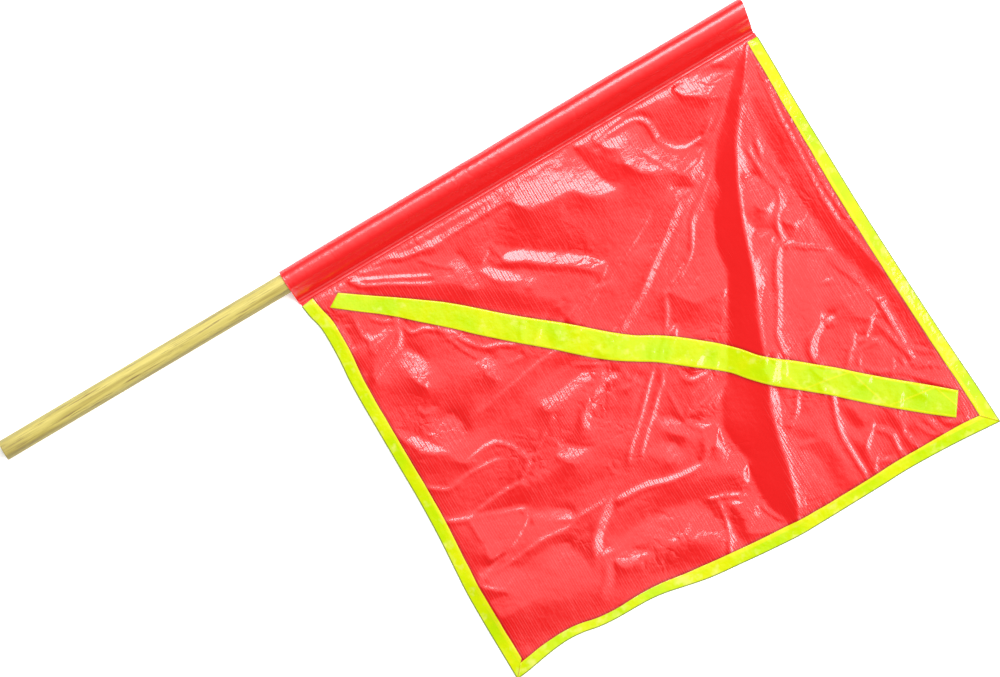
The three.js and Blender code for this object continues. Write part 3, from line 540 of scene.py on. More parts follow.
def mitre(a, b):
    """How far an inset edge stops short of the corner, for each unit of inset."""
    _, _, ax, ad = a.at(a.length)
    _, _, bx, bd = b.at(0.0)
    turn = math.pi - math.acos(max(-1.0, min(1.0, float(ax * bx + ad * bd))))
    return 1 / math.tan(turn / 2)


grip, fly, tip = Edge(GRIP_EDGE), Edge(FLY_EDGE), Edge(TIP_EDGE)
strip_line = Edge(STRIP_LINE)
m_gf, m_ft = mitre(grip, fly), mitre(fly, tip)
heights, back_face = fold_map()


def cloth_z(x, d):
    """Middle of the cloth, in millimetres above the floor."""
    near_weld = np.clip((d - BAND_END_D) / 6.0, 0, 1)
    near_weld = near_weld * near_weld * (3 - 2 * near_weld)
    return 0.62 + (SHEET_Z - 0.62) * near_weld + sample(heights, x, d) * near_weld


def place(x, d, z):
    """Millimetres on the flag as metres in the row frame."""
    x, d, z = np.broadcast_arrays(x, d, z)
    return np.stack([BUTT_X + x / 1000, AXIS_Y - d / 1000, z / 1000], -1).reshape(-1, 3)


# ---- mesh helpers -------------------------------------------------------------------------
def new_mesh(name, verts, faces, uv=None, smooth=True):
    mesh = bpy.data.meshes.new(name)
    mesh.from_pydata([tuple(map(float, v)) for v in verts], [], [tuple(f) for f in faces])
    mesh.validate()
    if uv is not None:
        layer = mesh.uv_layers.new(name="lay")
        index = np.zeros(len(mesh.loops), np.int32)
        mesh.loops.foreach_get("vertex_index", index)
        layer.data.foreach_set("uv", np.asarray(uv, np.float32)[index].ravel())
    mesh.shade_smooth() if smooth else None
    obj = bpy.data.objects.new(name, mesh)
    bpy.context.scene.collection.objects.link(obj)
    return obj


def grid_faces(n, m, close_m=False, flip=False, base=0):
    """Quads of an n by m grid of points, row by row."""
    i, j = np.meshgrid(np.arange(n - 1), np.arange(m if close_m else m - 1), indexing="ij")
    k = (j + 1) % m
    f = np.stack([i * m + j, (i + 1) * m + j, (i + 1) * m + k, i * m + k], -1).reshape(-1, 4) + base
    return f[:, ::-1] if flip else f


# ---- the free cloth ---------------------------------------------------------------------
def make_panel():
    """One sheet, from under the weld band to inside the bindings, on a fine grid."""
    pitch = 1.65
    inset = 0.7
    top_d = 24.6
    g_s = np.linspace(0, grip.length - inset * m_gf, 400)
    t_s = np.linspace(tip.length, inset * m_ft, 400)
    gx, gd = grip.inset(g_s, inset)
    tx, td = tip.inset(t_s, inset)
    gx, gd = np.concatenate([[349.4], gx]), np.concatenate([[top_d], gd])
    tx, td = np.concatenate([[909.4], tx]), np.concatenate([[top_d], td])
    fx, fd = fly.inset(np.linspace(inset * m_gf, fly.length - inset * m_ft, 800), inset)
    nx, nd = int(565 / pitch), int(470 / pitch)
    v = np.linspace(0, 1, nd)
    u = np.linspace(0, 1, nx)

    def even(px, pd, at):
        run = np.concatenate([[0], np.cumsum(np.hypot(np.diff(px), np.diff(pd)))])
        run /= run[-1]
        return np.interp(at, run, px), np.interp(at, run, pd)

    gx, gd = even(gx, gd, v)
    tx, td = even(tx, td, v)
    fx, fd = even(fx, fd, u)
    hx, hd = np.interp(u, [0, 1], [gx[0], tx[0]]), np.full(nx, top_d)
    U, V = np.meshgrid(u, v, indexing="ij")
    X = (1 - U) * gx[None] + U * tx[None] + (1 - V) * hx[:, None] + V * fx[:, None]
    X -= (1 - U) * (1 - V) * gx[0] + U * (1 - V) * tx[0] + (1 - U) * V * fx[0] + U * V * fx[-1]
    D = (1 - U) * gd[None] + U * td[None] + (1 - V) * hd[:, None] + V * fd[:, None]
    D -= (1 - U) * (1 - V) * gd[0] + U * (1 - V) * td[0] + (1 - U) * V * fd[0] + U * V * fd[-1]
    Z = cloth_z(X, D)
    uv = np.stack([X / 1000, D / 1000], -1).reshape(-1, 2)
    obj = new_mesh("flag_cloth", place(X, D, Z), grid_faces(nx, nd, flip=True), uv)
    # ribs are pulled flat on the back of the big fold
    ribs = 1.0 - 0.85 * sample(back_face, X, D)
    layer = obj.data.attributes.new("ribs", "FLOAT", "POINT")
    layer.data.foreach_set("value", ribs.astype(np.float32).ravel())
    # distance to the nearest edge of a tape, as a thin line of painted shade beside it
    tape_edge_shade = np.zeros(X.size)
    flat = np.stack([X.ravel(), D.ravel()], -1)
    for edge, lap in ((grip, LAP_GRIP), (fly, LAP_FLY), (tip, LAP_TIP)):
        s_ = np.linspace(0, edge.length, int(edge.length / 1.2))
        lx, ld = edge.inset(s_, np.interp(s_, [q[0] for q in lap], [q[1] for q in lap]))
        tape_edge_shade = np.maximum(tape_edge_shade, beside(flat, lx, ld))
    s_ = np.linspace(0, strip_line.length, int(strip_line.length / 1.2))
    half = np.interp(s_ / strip_line.length, [q[0] for q in STRIP_HALF], [q[1] for q in STRIP_HALF]) * 15.0
    for sign in (-1, 1):
        lx, ld = strip_line.inset(s_, sign * half)
        tape_edge_shade = np.maximum(tape_edge_shade, beside(flat, lx, ld))
    layer = obj.data.attributes.new("tape_edge_shade", "FLOAT", "POINT")
    layer.data.foreach_set("value", tape_edge_shade.astype(np.float32))
    return obj


def beside(flat, lx, ld):
    """1 on a line of points, falling to 0 two millimetres from it."""
    out = np.zeros(len(flat))
    box = (flat[:, 0] > lx.min() - 3) & (flat[:, 0] < lx.max() + 3) & (flat[:, 1] > ld.min() - 3) & (flat[:, 1] < ld.max() + 3)
    tree = kdtree.KDTree(len(lx))
    for k, (a, b) in enumerate(zip(lx, ld)):
        tree.insert((a, b, 0), k)
    tree.balance()
    for k in np.nonzero(box)[0]:
        out[k] = math.exp(-(tree.find((flat[k, 0], flat[k, 1], 0))[2] / 1.7) ** 2)
    return out


# ---- tape folded over an edge -------------------------------------------------------------
LAP_GRIP = [(0, 14.4), (60, 14.6), (130, 13.6), (300, 13.8), (460, 15.2)]
LAP_FLY = [(0, 12.2), (25, 11.6), (60, 10.2), (130, 9.2), (170, 10.8), (200, 12.5), (225, 14.6), (330, 15.2), (380, 13.4), (500, 13.4), (560, 15.4), (585, 15.4)]
LAP_TIP = [(0, 15.4), (30, 14.8), (300, 14.4), (400, 13.0), (485, 12.8)]


def make_binding(name, edge, m0, m1, lap, seed):
    """A closed strip of tape, folded round the cloth's edge and following its creases."""
    rng = np.random.default_rng(seed)
    n = int(edge.length / 2.0)
    s0 = np.linspace(0, 1, n)
    width = np.interp(s0 * edge.length, [p[0] for p in lap], [p[1] for p in lap])
    cloth, gap, tape = 0.25, 0.08, 0.30
    top_in, top_out = cloth + gap, cloth + gap + tape
    # profile: (share of the lap, inset, height over the cloth's middle)
    outer = [(1.0, 0, top_out - 0.10), (1.0, -0.12, top_out)] + [(f, 0, top_out) for f in (0.86, 0.7, 0.52, 0.34, 0.18, 0.08)]
    fold = [(0, 0.35, top_out), (0, 0.05, top_out - 0.22), (0, -0.08, 0.0), (0, 0.05, -top_out + 0.22), (0, 0.35, -top_out)]
    under = [(f, 0, -top_out) for f in (0.08, 0.34, 0.7)] + [(1.0, 0, -top_out), (1.0, 0, -top_in)]
    inner = [(0.7, 0, -top_in), (0.34, 0, -top_in), (0.08, 0.1, -top_in), (0, 0.42, -0.1), (0, 0.42, 0.1), (0.08, 0.1, top_in), (0.34, 0, top_in), (0.7, 0, top_in), (1.0, 0, top_in)]
    profile = outer + fold + under + inner
    m = len(profile)
    ripple = np.interp(s0, np.linspace(0, 1, 40), rng.uniform(-0.22, 0.22, 40))
    X, D, Z, A = (np.zeros((n, m)) for _ in range(4))
    for j, (share, off, h) in enumerate(profile):
        o = share * (width + ripple * (share > 0.9)) + off
        a, b = 0.25 + np.maximum(o, 0) * m0, edge.length - 0.25 - np.maximum(o, 0) * m1
        s = a + (b - a) * s0
        x, d = edge.inset(s, o)
        z = cloth_z(x, d)
        X[:, j], D[:, j], Z[:, j] = x, d, np.maximum(z + h, 0.02 + 0.35 * (h > -top_out + 0.05) * (h < 0))
        A[:, j] = o
    uv = np.stack([np.repeat(s0 * edge.length / 1000, m), A.reshape(-1) / 1000], -1)
    faces = [tuple(f) for f in grid_faces(n, m, close_m=True)]
    # the cut ends, as quads between the outside and the inside of the U
    ring = list(range(m))
    no, ni = len(outer) + len(fold) + len(under) - 1, m
    outside, inside_ = ring[:no], ring[no:][::-1]
    for row, turn in ((0, False), (n - 1, True)):
        a, b = [row * m + k for k in outside], [row * m + k for k in inside_]
        ia = 0
        for k in range(max(len(a), len(b)) - 1):
            qa, qa2 = min(round(k * (len(a) - 1) / (max(len(a), len(b)) - 1)), len(a) - 1), min(round((k + 1) * (len(a) - 1) / (max(len(a), len(b)) - 1)), len(a) - 1)
            qb, qb2 = min(round(k * (len(b) - 1) / (max(len(a), len(b)) - 1)), len(b) - 1), min(round((k + 1) * (len(b) - 1) / (max(len(a), len(b)) - 1)), len(b) - 1)
            f = list(dict.fromkeys([a[qa], a[qa2], b[qb2], b[qb]]))
            if len(f) > 2:
                faces.append(tuple(f if turn else f[::-1]))
    obj = new_mesh(name, place(X, D, Z), faces, uv)
    return obj


# ---- the slanting strip -----------------------------------------------------------------------
def make_strip():
    n, m = int(strip_line.length / 1.9), 17
    s = np.linspace(0, 1, n)
    half = np.interp(s, [p[0] for p in STRIP_HALF], [p[1] for p in STRIP_HALF]) * 15.0
    across = np.linspace(-1, 1, m)
    start_skew, end_skew = 3.2, -1.2
    skew = np.where(s < 0.5, start_skew * (1 - s / 0.08).clip(0, 1), end_skew * ((s - 0.92) / 0.08).clip(0, 1))
    S2, V = np.meshgrid(s, across, indexing="ij")
    along = S2 * strip_line.length + skew[:, None] * V * -1
    o = V * half[:, None]
    x, d = strip_line.inset(along, -o)
    # V = -1 lies towards the staff and the tip
    z = cloth_z(x, d)
    base, tape = 0.36, 0.34
    edge_drop = 0.10 * (np.abs(V) > 0.99)
    top = place(x, d, z + base + tape - edge_drop)
    low = place(x, d, z + base)
    uv = np.stack([along / 1000, (V * 0.015)], -1).reshape(-1, 2)
    verts = np.concatenate([top, low])
    faces = [tuple(f) for f in grid_faces(n, m)] + [tuple(f) for f in grid_faces(n, m, flip=True, base=n * m)]
    rim = [i * m for i in range(n)] + [(n - 1) * m + j for j in range(1, m)] + [i * m + m - 1 for i in range(n - 2, -1, -1)] + [j for j in range(m - 2, 0, -1)]
    for a, b in zip(rim, rim[1:] + rim[:1]):
        faces.append((b, a, a + n * m, b + n * m))
    return new_mesh("tape_strip", verts, faces, np.concatenate([uv, uv]))


# ---- the sleeve round the staff ---------------------------------------------------------------
def make_sleeve():
    """The sheet's staff side, turned round the staff and welded down in a narrow band."""
    rng = np.random.default_rng(5)
    clear, cloth, slack = 0.3, 0.5, 2.7
    r_out = STAFF_R + clear + cloth
    cz = AXIS_H
    n = 300
    x0, x1 = SLEEVE_X0, SLEEVE_X1
    us = np.concatenate([np.linspace(0, 0.02, 8)[:-1], np.linspace(0.02, 0.975, n - 24), np.linspace(0.975, 1, 18)[1:]])
    n = len(us)

    def wave(count, amp, seed):
        g = np.random.default_rng(seed).uniform(-1, 1, count + 3)
        f = us * count
        i = f.astype(int)
        a = f - i
        a = a * a * (3 - 2 * a)
        return amp * (g[i] * (1 - a) + g[i + 1] * a)

    sag = 0.55 + wave(9, 0.35, 21) + wave(26, 0.12, 22)      # how the front face sags
    back = wave(7, 0.5, 23) + wave(30, 0.12, 24) - 0.9 * np.exp(-us / 0.16)  # slack at the back
    weld = wave(60, 0.10, 25)
    crest = wave(12, 0.05, 26)

    def ring(k, off):
        """One cross-section as (d, z), from the band's edge over the staff and back."""
        r = r_out - off
        sl = max(0.3, slack + back[k])
        wob = weld[k] * (off == 0)
        seam = np.array([20.6 - 0.3 * (off > 0) * 4, 1.55 - off * 0.55])
        pts = []
        if off == 0:
            pts += [(27.0, 0.50), (26.98, 0.95), (26.7, 1.34 + wob), (26.2, 1.46 + wob), (25.4, 1.10 + wob * 0.5), (24.7, 1.02), (24.0, 1.04), (23.3, 1.42 + wob), (22.8, 1.78 + wob), (22.3, 1.80 + wob), (21.6, 1.50)]
        dist = math.hypot(seam[0], seam[1] - cz)
        to_c = math.atan2(cz - seam[1], -seam[0])
        direction = to_c - math.asin(r / dist)
        reach = math.sqrt(dist * dist - r * r)
        touch = (seam[0] + reach * math.cos(direction), seam[1] + reach * math.sin(direction))
        for w in np.linspace(0, 1, 12):
            swell = (2.9 - sag[k]) * 4 * w * (1 - w) * (1.1 - 0.2 * w) * (0.55 + 0.45 * min(1, us[k] / 0.05))
            span = math.hypot(touch[0] - seam[0], touch[1] - seam[1])
            pts.append((seam[0] + (touch[0] - seam[0]) * w + swell * (touch[1] - seam[1]) / span, seam[1] + (touch[1] - seam[1]) * w - swell * (touch[0] - seam[0]) / span))
        a0 = math.atan2(touch[1] - cz, touch[0])
        for w in np.linspace(0, 1, 10)[1:]:
            a = a0 + (math.pi / 2 - a0) * w
            pts.append((r * math.cos(a), cz + (r + crest[k] * (off == 0)) * math.sin(a)))
        for w in np.linspace(0, 1, 26)[1:]:
            a = math.pi / 2 + math.pi * w
            pts.append(((r + sl) * math.cos(a), cz + r * math.sin(a)))
        pts += [(4.0, off), (10.0, off), (16.0, off)]
        if off == 0:
            pts += [(21.0, 0), (24.5, 0), (26.9, 0)]
        else:
            pts += [(19.0, off)]
        return pts

    def rows(off, u_from, u_to, ends):
        grid = []
        for k in range(n):
            grid.append(ring(k, off))
        P = np.array(grid)                                   # n, m, (d, z)
        d, z = P[..., 0], P[..., 1]
        # the mouth slants a little; the closed end is cut back towards the weld and rounded at its outer corner
        start = x0 + np.clip(d, 0, None) * 0.045
        end = x1 - np.clip((d + 9.5) / 36.5, 0, 1) * 6.6 - 4.2 * np.clip((-d - 9.5) / 5.2, 0, 1) ** 2.6
        if off:
            start, end = start + 0.0, end - 0.5
        X = start + (end - start) * us[:, None]
        # the end is pressed together: heights shrink a little and the edge softens
        tail = np.clip((us - 0.985) / 0.015, 0, 1)[:, None] ** 2
        return X, d, z, tail

    X, d, z, tail = rows(0.0, 0, 1, True)
    m = X.shape[1]
    z = z - 0.35 * tail * (z > 12)
    outer = place(X, d, z)
    # lengths round the loop, for the weave
    step = np.hypot(np.diff(d, axis=1), np.diff(z, axis=1))
    run = np.concatenate([np.zeros((n, 1)), np.cumsum(step, 1)], 1)
    uv = [np.stack([X / 1000, run / 1000], -1).reshape(-1, 2)]
    Xi, di, zi, _ = rows(0.5, 0, 1, True)
    mi = Xi.shape[1]
    inner = place(Xi, di, zi)
    uv.append(np.stack([Xi / 1000, np.broadcast_to(np.arange(mi) * 0.002, Xi.shape)], -1).reshape(-1, 2))
    verts = [outer, inner]
    faces = [tuple(f) for f in grid_faces(n, m, close_m=True, flip=True)]
    base = n * m
    faces += [tuple(f) for f in grid_faces(n, mi, close_m=True, base=base)]
    # the mouth: a rim between the outside ring and the inside ring
    def bridge(a, b, turn):
        big = max(len(a), len(b))
        for k in range(big):
            qa, qa2 = a[int(k * len(a) / big) % len(a)], a[int((k + 1) * len(a) / big) % len(a)]
            qb, qb2 = b[int(k * len(b) / big) % len(b)], b[int((k + 1) * len(b) / big) % len(b)]
            f = list(dict.fromkeys([qa, qa2, qb2, qb]))
            if len(f) > 2:
                faces.append(tuple(f[::-1] if turn else f))
    # start the inside ring beside the outside ring's seam
    oring, iring = list(range(m)), [base + k for k in range(mi)]
    bridge(oring, iring, False)
    # the closed end: outside and inside each get a cap that meets along the middle
    def cap(ring_ids, pts, turn, extra_base):
        c = pts.mean(0)
        verts.append(c[None])
        uv.append(np.array([[0.0, 0.0]]))
        ci = extra_base
        for a, b in zip(ring_ids, ring_ids[1:] + ring_ids[:1]):
            faces.append((a, b, ci) if turn else (b, a, ci))
    all_v = np.concatenate([outer, inner])
    last_o = [(n - 1) * m + k for k in range(m)]
    last_i = [base + (n - 1) * mi + k for k in range(mi)]
    cap(last_o, all_v[last_o], True, base + n * mi)
    cap(last_i, all_v[last_i], False, base + n * mi + 1)
    return new_mesh("sleeve_cloth", np.concatenate(verts), faces, np.concatenate(uv))


# ---- materials ----------------------------------------------------------------------------------
def nodes_of(name):
    mat = bpy.data.materials.new(name)
    mat.use_nodes = True
    t = mat.node_tree
    t.nodes.clear()
    out = t.nodes.new("ShaderNodeOutputMaterial")
    bsdf = t.nodes.new("ShaderNodeBsdfPrincipled")
    t.links.new(bsdf.outputs[0], out.inputs[0])
    return mat, t, bsdf


def add(t, kind, **values):
    n = t.nodes.new(kind)
    for k, v in values.items():
        if k in n.inputs and not hasattr(type(n), k):
            n.inputs[k].default_value = v
        elif hasattr(n, k):
            setattr(n, k, v)
        else:
            n.inputs[k].default_value = v
    return n


def link(t, a, b):
    t.links.new(a, b)


def math_node(t, op, a, b=None, c=None):
    n = t.nodes.new("ShaderNodeMath")
    n.operation = op
    for i, v in enumerate((a, b, c)):
        if v is None:
            continue
        if isinstance(v, (int, float)):
            n.inputs[i].default_value = v
        else:
            t.links.new(v, n.inputs[i])
    return n.outputs[0]


def mix_colour(t, fac, a, b, mode="MIX"):
    n = t.nodes.new("ShaderNodeMix")
    n.data_type = "RGBA"
    n.blend_type = mode
    if isinstance(fac, (int, float)):
        n.inputs[0].default_value = fac
    else:
        t.links.new(fac, n.inputs[0])
    for i, v in ((6, a), (7, b)):
        if isinstance(v, tuple):
            n.inputs[i].default_value = (*v, 1)
        else:
            t.links.new(v, n.inputs[i])
    return n.outputs[2]


def red_vinyl(name, rib=1.0, panel=False):
    """Glossy coated cloth: ribs of the base cloth 2.6 mm apart that show in its gloss."""
    mat, t, b = nodes_of(name)
    co = add(t, "ShaderNodeTexCoord").outputs["Object"]
    sep = add(t, "ShaderNodeSeparateXYZ")
    link(t, co, sep.inputs[0])
    warp = add(t, "ShaderNodeTexNoise", Scale=18.0, Detail=3.0)
    link(t, co, warp.inputs["Vector"])
    x = math_node(t, "ADD", sep.outputs[0], math_node(t, "MULTIPLY", warp.outputs[0], 0.0035))
    ribs = math_node(t, "SINE", math_node(t, "MULTIPLY", x, 2 * math.pi / 0.0026))
    broad = math_node(t, "SINE", math_node(t, "MULTIPLY", x, 2 * math.pi / 0.0052))
    weft = math_node(t, "SINE", math_node(t, "MULTIPLY", sep.outputs[1], 2 * math.pi / 0.0011))
    patch = add(t, "ShaderNodeTexNoise", Scale=22.0, Detail=3.0)
    link(t, co, patch.inputs["Vector"])
    depth = math_node(t, "MAXIMUM", math_node(t, "MULTIPLY_ADD", patch.outputs[0], 3.2, -0.85), 0.12)
    # narrow grooves between flat, glossy ribs; every second one is deeper in places
    groove = math_node(t, "MAXIMUM", math_node(t, "MULTIPLY_ADD", ribs, 0.8, 0.2), 0.0)
    groove = math_node(t, "MULTIPLY", groove, math_node(t, "MULTIPLY_ADD", broad, 0.45, 0.85))
    groove = math_node(t, "MULTIPLY", groove, depth)
    if panel:
        groove = math_node(t, "MULTIPLY", groove, add(t, "ShaderNodeAttribute", attribute_name="ribs").outputs["Fac"])
    h = math_node(t, "SUBTRACT", math_node(t, "MULTIPLY", weft, 0.05), groove)
    grain = add(t, "ShaderNodeTexNoise", Scale=420.0, Detail=3.0, Roughness=0.6)
    link(t, co, grain.inputs["Vector"])
    h = math_node(t, "ADD", h, math_node(t, "MULTIPLY", grain.outputs[0], 1.1))
    bump = add(t, "ShaderNodeBump", Strength=1.0, Distance=0.000065 * rib)
    link(t, h, bump.inputs["Height"])
    # crumple too fine for the mesh: soft dents, and here and there sharp little creases
    crumple = add(t, "ShaderNodeTexNoise", Scale=95.0, Detail=3.0, Roughness=0.5)
    link(t, co, crumple.inputs["Vector"])
    wrinkle = add(t, "ShaderNodeTexVoronoi", Scale=70.0)
    wrinkle.feature = "DISTANCE_TO_EDGE"
    bent = add(t, "ShaderNodeTexNoise", Scale=40.0, Detail=2.0)
    link(t, co, bent.inputs["Vector"])
    shift_ = add(t, "ShaderNodeVectorMath")
    shift_.operation = "MULTIPLY_ADD"
    shift_.inputs[1].default_value = (0.03, 0.03, 0.03)
    link(t, bent.outputs["Color"], shift_.inputs[0])
    link(t, co, shift_.inputs[2])
    link(t, shift_.outputs[0], wrinkle.inputs["Vector"])
    where = add(t, "ShaderNodeTexNoise", Scale=13.0, Detail=2.0)
    link(t, co, where.inputs["Vector"])
    where_ = math_node(t, "MAXIMUM", math_node(t, "MULTIPLY_ADD", where.outputs[0], 4.0, -1.9), 0.0)
    fine = math_node(t, "MULTIPLY", math_node(t, "MINIMUM", where_, 1.0), math_node(t, "MINIMUM", wrinkle.outputs["Distance"], 0.3))
    both = math_node(t, "ADD", crumple.outputs[0], math_node(t, "MULTIPLY", fine, 2.4))
    if panel:
        both = math_node(t, "MULTIPLY", both, math_node(t, "MULTIPLY_ADD", add(t, "ShaderNodeAttribute", attribute_name="ribs").outputs["Fac"], 0.7, 0.3))
    bump2 = add(t, "ShaderNodeBump", Strength=1.0, Distance=0.00070 if panel else 0.0003)
    link(t, both, bump2.inputs["Height"])
    link(t, bump2.outputs[0], bump.inputs["Normal"])
    link(t, bump.outputs[0], b.inputs["Normal"])
    tone = add(t, "ShaderNodeTexNoise", Scale=9.0, Detail=4.0)
    link(t, co, tone.inputs["Vector"])
    col = mix_colour(t, tone.outputs[0], (0.40, 0.0052, 0.0050), (0.45, 0.0095, 0.0125))
    if panel:
        # painted shade: a thin dark line in the cloth's colour and glow beside each tape
        tape_edge_shade = math_node(t, "MULTIPLY", add(t, "ShaderNodeAttribute", attribute_name="tape_edge_shade").outputs["Fac"], 0.85)
        col = mix_colour(t, tape_edge_shade, col, (0.13, 0.003, 0.004))
        link(t, mix_colour(t, tape_edge_shade, (1.0, 0.012, 0.006), (0.42, 0.004, 0.003)), b.inputs["Emission Color"])
    link(t, col, b.inputs["Base Color"])
    rough = math_node(t, "MULTIPLY_ADD", patch.outputs[0], 0.10, 0.12 if panel else 0.21)
    rough = math_node(t, "ADD", rough, math_node(t, "MULTIPLY", groove, 0.50 * rib))
    link(t, rough, b.inputs["Roughness"])
    b.inputs["IOR"].default_value = 1.6
    # painted light: the cloth glows red by itself, standing in for its fluorescent pigment and lifting its shaded sides
    if not panel:
        b.inputs["Emission Color"].default_value = (1.0, 0.011, 0.007, 1)
    b.inputs["Emission Strength"].default_value = 0.36 if panel else 0.38
    return mat


def lime_tape(name, zigzag=False, half=None, centre=0.0, green=(0.255, 0.27), edge=0.36):
    """Fluorescent prismatic tape: clear top film, welded rims and, on the strip, a zigzag."""
    mat, t, b = nodes_of(name)
    uv = add(t, "ShaderNodeUVMap", uv_map="lay")
    sep = add(t, "ShaderNodeSeparateXYZ")
    link(t, uv.outputs[0], sep.inputs[0])
    u, v = sep.outputs[0], sep.outputs[1]
    co = add(t, "ShaderNodeTexCoord").outputs["Object"]
    # across: 0 in the middle of the tape's face, 1 at its rims
    across = math_node(t, "DIVIDE", math_node(t, "ABSOLUTE", math_node(t, "SUBTRACT", v, centre)), half)
    rim = math_node(t, "SMOOTH_MIN", math_node(t, "MAXIMUM", math_node(t, "MULTIPLY", math_node(t, "SUBTRACT", across, 0.80), 12.0), 0.0), 1.0, 0.1)
    if centre:
        # on the bindings the welded rim is the inner third of the lap
        inner_rim = math_node(t, "MINIMUM", math_node(t, "MAXIMUM", math_node(t, "MULTIPLY_ADD", v, 800.0, -8.0), 0.0), 1.0)
        rim = math_node(t, "MAXIMUM", math_node(t, "MULTIPLY", rim, 0.4), inner_rim)
    noise = add(t, "ShaderNodeTexNoise", Scale=26.0, Detail=3.0)
    link(t, co, noise.inputs["Vector"])
    patches = math_node(t, "MINIMUM", math_node(t, "MAXIMUM", math_node(t, "MULTIPLY_ADD", noise.outputs[0], 3.2, -1.1), 0.0), 1.0)
    cell = mix_colour(t, patches, (green[0] - 0.08, green[1], 0.0003), (green[0] + 0.07, green[1] + 0.02, 0.0009))
    yellow = patches
    fine = add(t, "ShaderNodeTexVoronoi", Scale=900.0)
    link(t, co, fine.inputs["Vector"])
    cell = mix_colour(t, math_node(t, "MULTIPLY", fine.outputs[0], 0.40), cell, (green[0] + 0.07, green[1] + 0.02, 0.002))
    line = None
    if zigzag:
        period = 0.046
        saw = math_node(t, "PINGPONG", u, period)
        wave = math_node(t, "MULTIPLY_ADD", math_node(t, "DIVIDE", saw, period), 2.0, -1.0)
        signed = math_node(t, "DIVIDE", v, half)
        off = math_node(t, "ABSOLUTE", math_node(t, "SUBTRACT", signed, math_node(t, "MULTIPLY", wave, 0.92)))
        line = math_node(t, "MAXIMUM", math_node(t, "SUBTRACT", 1.0, math_node(t, "MULTIPLY", off, 9.0)), 0.0)
        # the clear film over the zigzag is only worn through towards the strip's far end
        worn = math_node(t, "MAXIMUM", math_node(t, "MINIMUM", math_node(t, "MULTIPLY_ADD", u, 8.0, -3.1), 1.0), 0.05)
        line = math_node(t, "MULTIPLY", line, worn)
        # and there the cells of the tape show greener between the lines
        cell = mix_colour(t, math_node(t, "MULTIPLY", worn, 0.5), cell, (0.15, 0.25, 0.0003))
        yellow = math_node(t, "MAXIMUM", math_node(t, "MULTIPLY", patches, math_node(t, "MULTIPLY_ADD", worn, -0.5, 1.0)), line)
        cell = mix_colour(t, math_node(t, "MULTIPLY", line, 0.8), cell, (0.36, 0.29, 0.008))
    # pale patches: crazed film, and painted glints as well; they also whiten the glow
    crazing_and_glint_noise = add(t, "ShaderNodeTexNoise", Scale=75.0, Detail=3.0)
    link(t, co, crazing_and_glint_noise.inputs["Vector"])
    crazing_and_glint = math_node(t, "MINIMUM", math_node(t, "MAXIMUM", math_node(t, "MULTIPLY_ADD", crazing_and_glint_noise.outputs[0], 7.0, -3.85 if centre else -4.1), 0.0), 1.0)
    cell = mix_colour(t, math_node(t, "MULTIPLY", crazing_and_glint, 0.65 if centre else 0.45), cell, (0.42, 0.34, 0.10))
    col = mix_colour(t, rim, cell, (edge, 0.29, 0.007))
    if centre:
        # painted shade: the fold itself is darkened, in the colour and in the glow
        fold_edge_shade = math_node(t, "MAXIMUM", math_node(t, "MULTIPLY_ADD", v, -1000.0, 1.45), 0.0)
        col = mix_colour(t, math_node(t, "MINIMUM", fold_edge_shade, 0.85), col, (0.05, 0.07, 0.02))
    link(t, col, b.inputs["Base Color"])
    # painted light: the tape glows by itself, standing in for its fluorescent film and keeping its shaded parts bright
    painted_glow = mix_colour(t, math_node(t, "MAXIMUM", yellow, rim), (0.66, 1.0, 0.0004), (0.78, 1.0, 0.0005))
    painted_glow = mix_colour(t, math_node(t, "MULTIPLY", crazing_and_glint, 0.5), painted_glow, (0.84, 1.0, 0.13))
    if centre:
        link(t, mix_colour(t, math_node(t, "MINIMUM", fold_edge_shade, 0.85), painted_glow, (0.12, 0.17, 0.02)), b.inputs["Emission Color"])
    else:
        link(t, painted_glow, b.inputs["Emission Color"])
    b.inputs["Emission Strength"].default_value = 0.50
    grain = add(t, "ShaderNodeTexNoise", Scale=260.0, Detail=2.0)
    link(t, co, grain.inputs["Vector"])
    dent = add(t, "ShaderNodeTexNoise", Scale=110.0, Detail=2.0)
    link(t, co, dent.inputs["Vector"])
    h = math_node(t, "ADD", math_node(t, "MULTIPLY", grain.outputs[0], 0.6), math_node(t, "MULTIPLY", rim, 0.4))
    h = math_node(t, "MULTIPLY_ADD", dent.outputs[0], 14.0, h)
    if line is not None:
        h = math_node(t, "SUBTRACT", h, math_node(t, "MULTIPLY", line, 0.6))
    bump = add(t, "ShaderNodeBump", Strength=1.0, Distance=0.00007)
    link(t, h, bump.inputs["Height"])
    link(t, bump.outputs[0], b.inputs["Normal"])
    link(t, math_node(t, "MULTIPLY_ADD", noise.outputs[0], 0.12, 0.08), b.inputs["Roughness"])
    b.inputs["IOR"].default_value = 1.37
    return mat


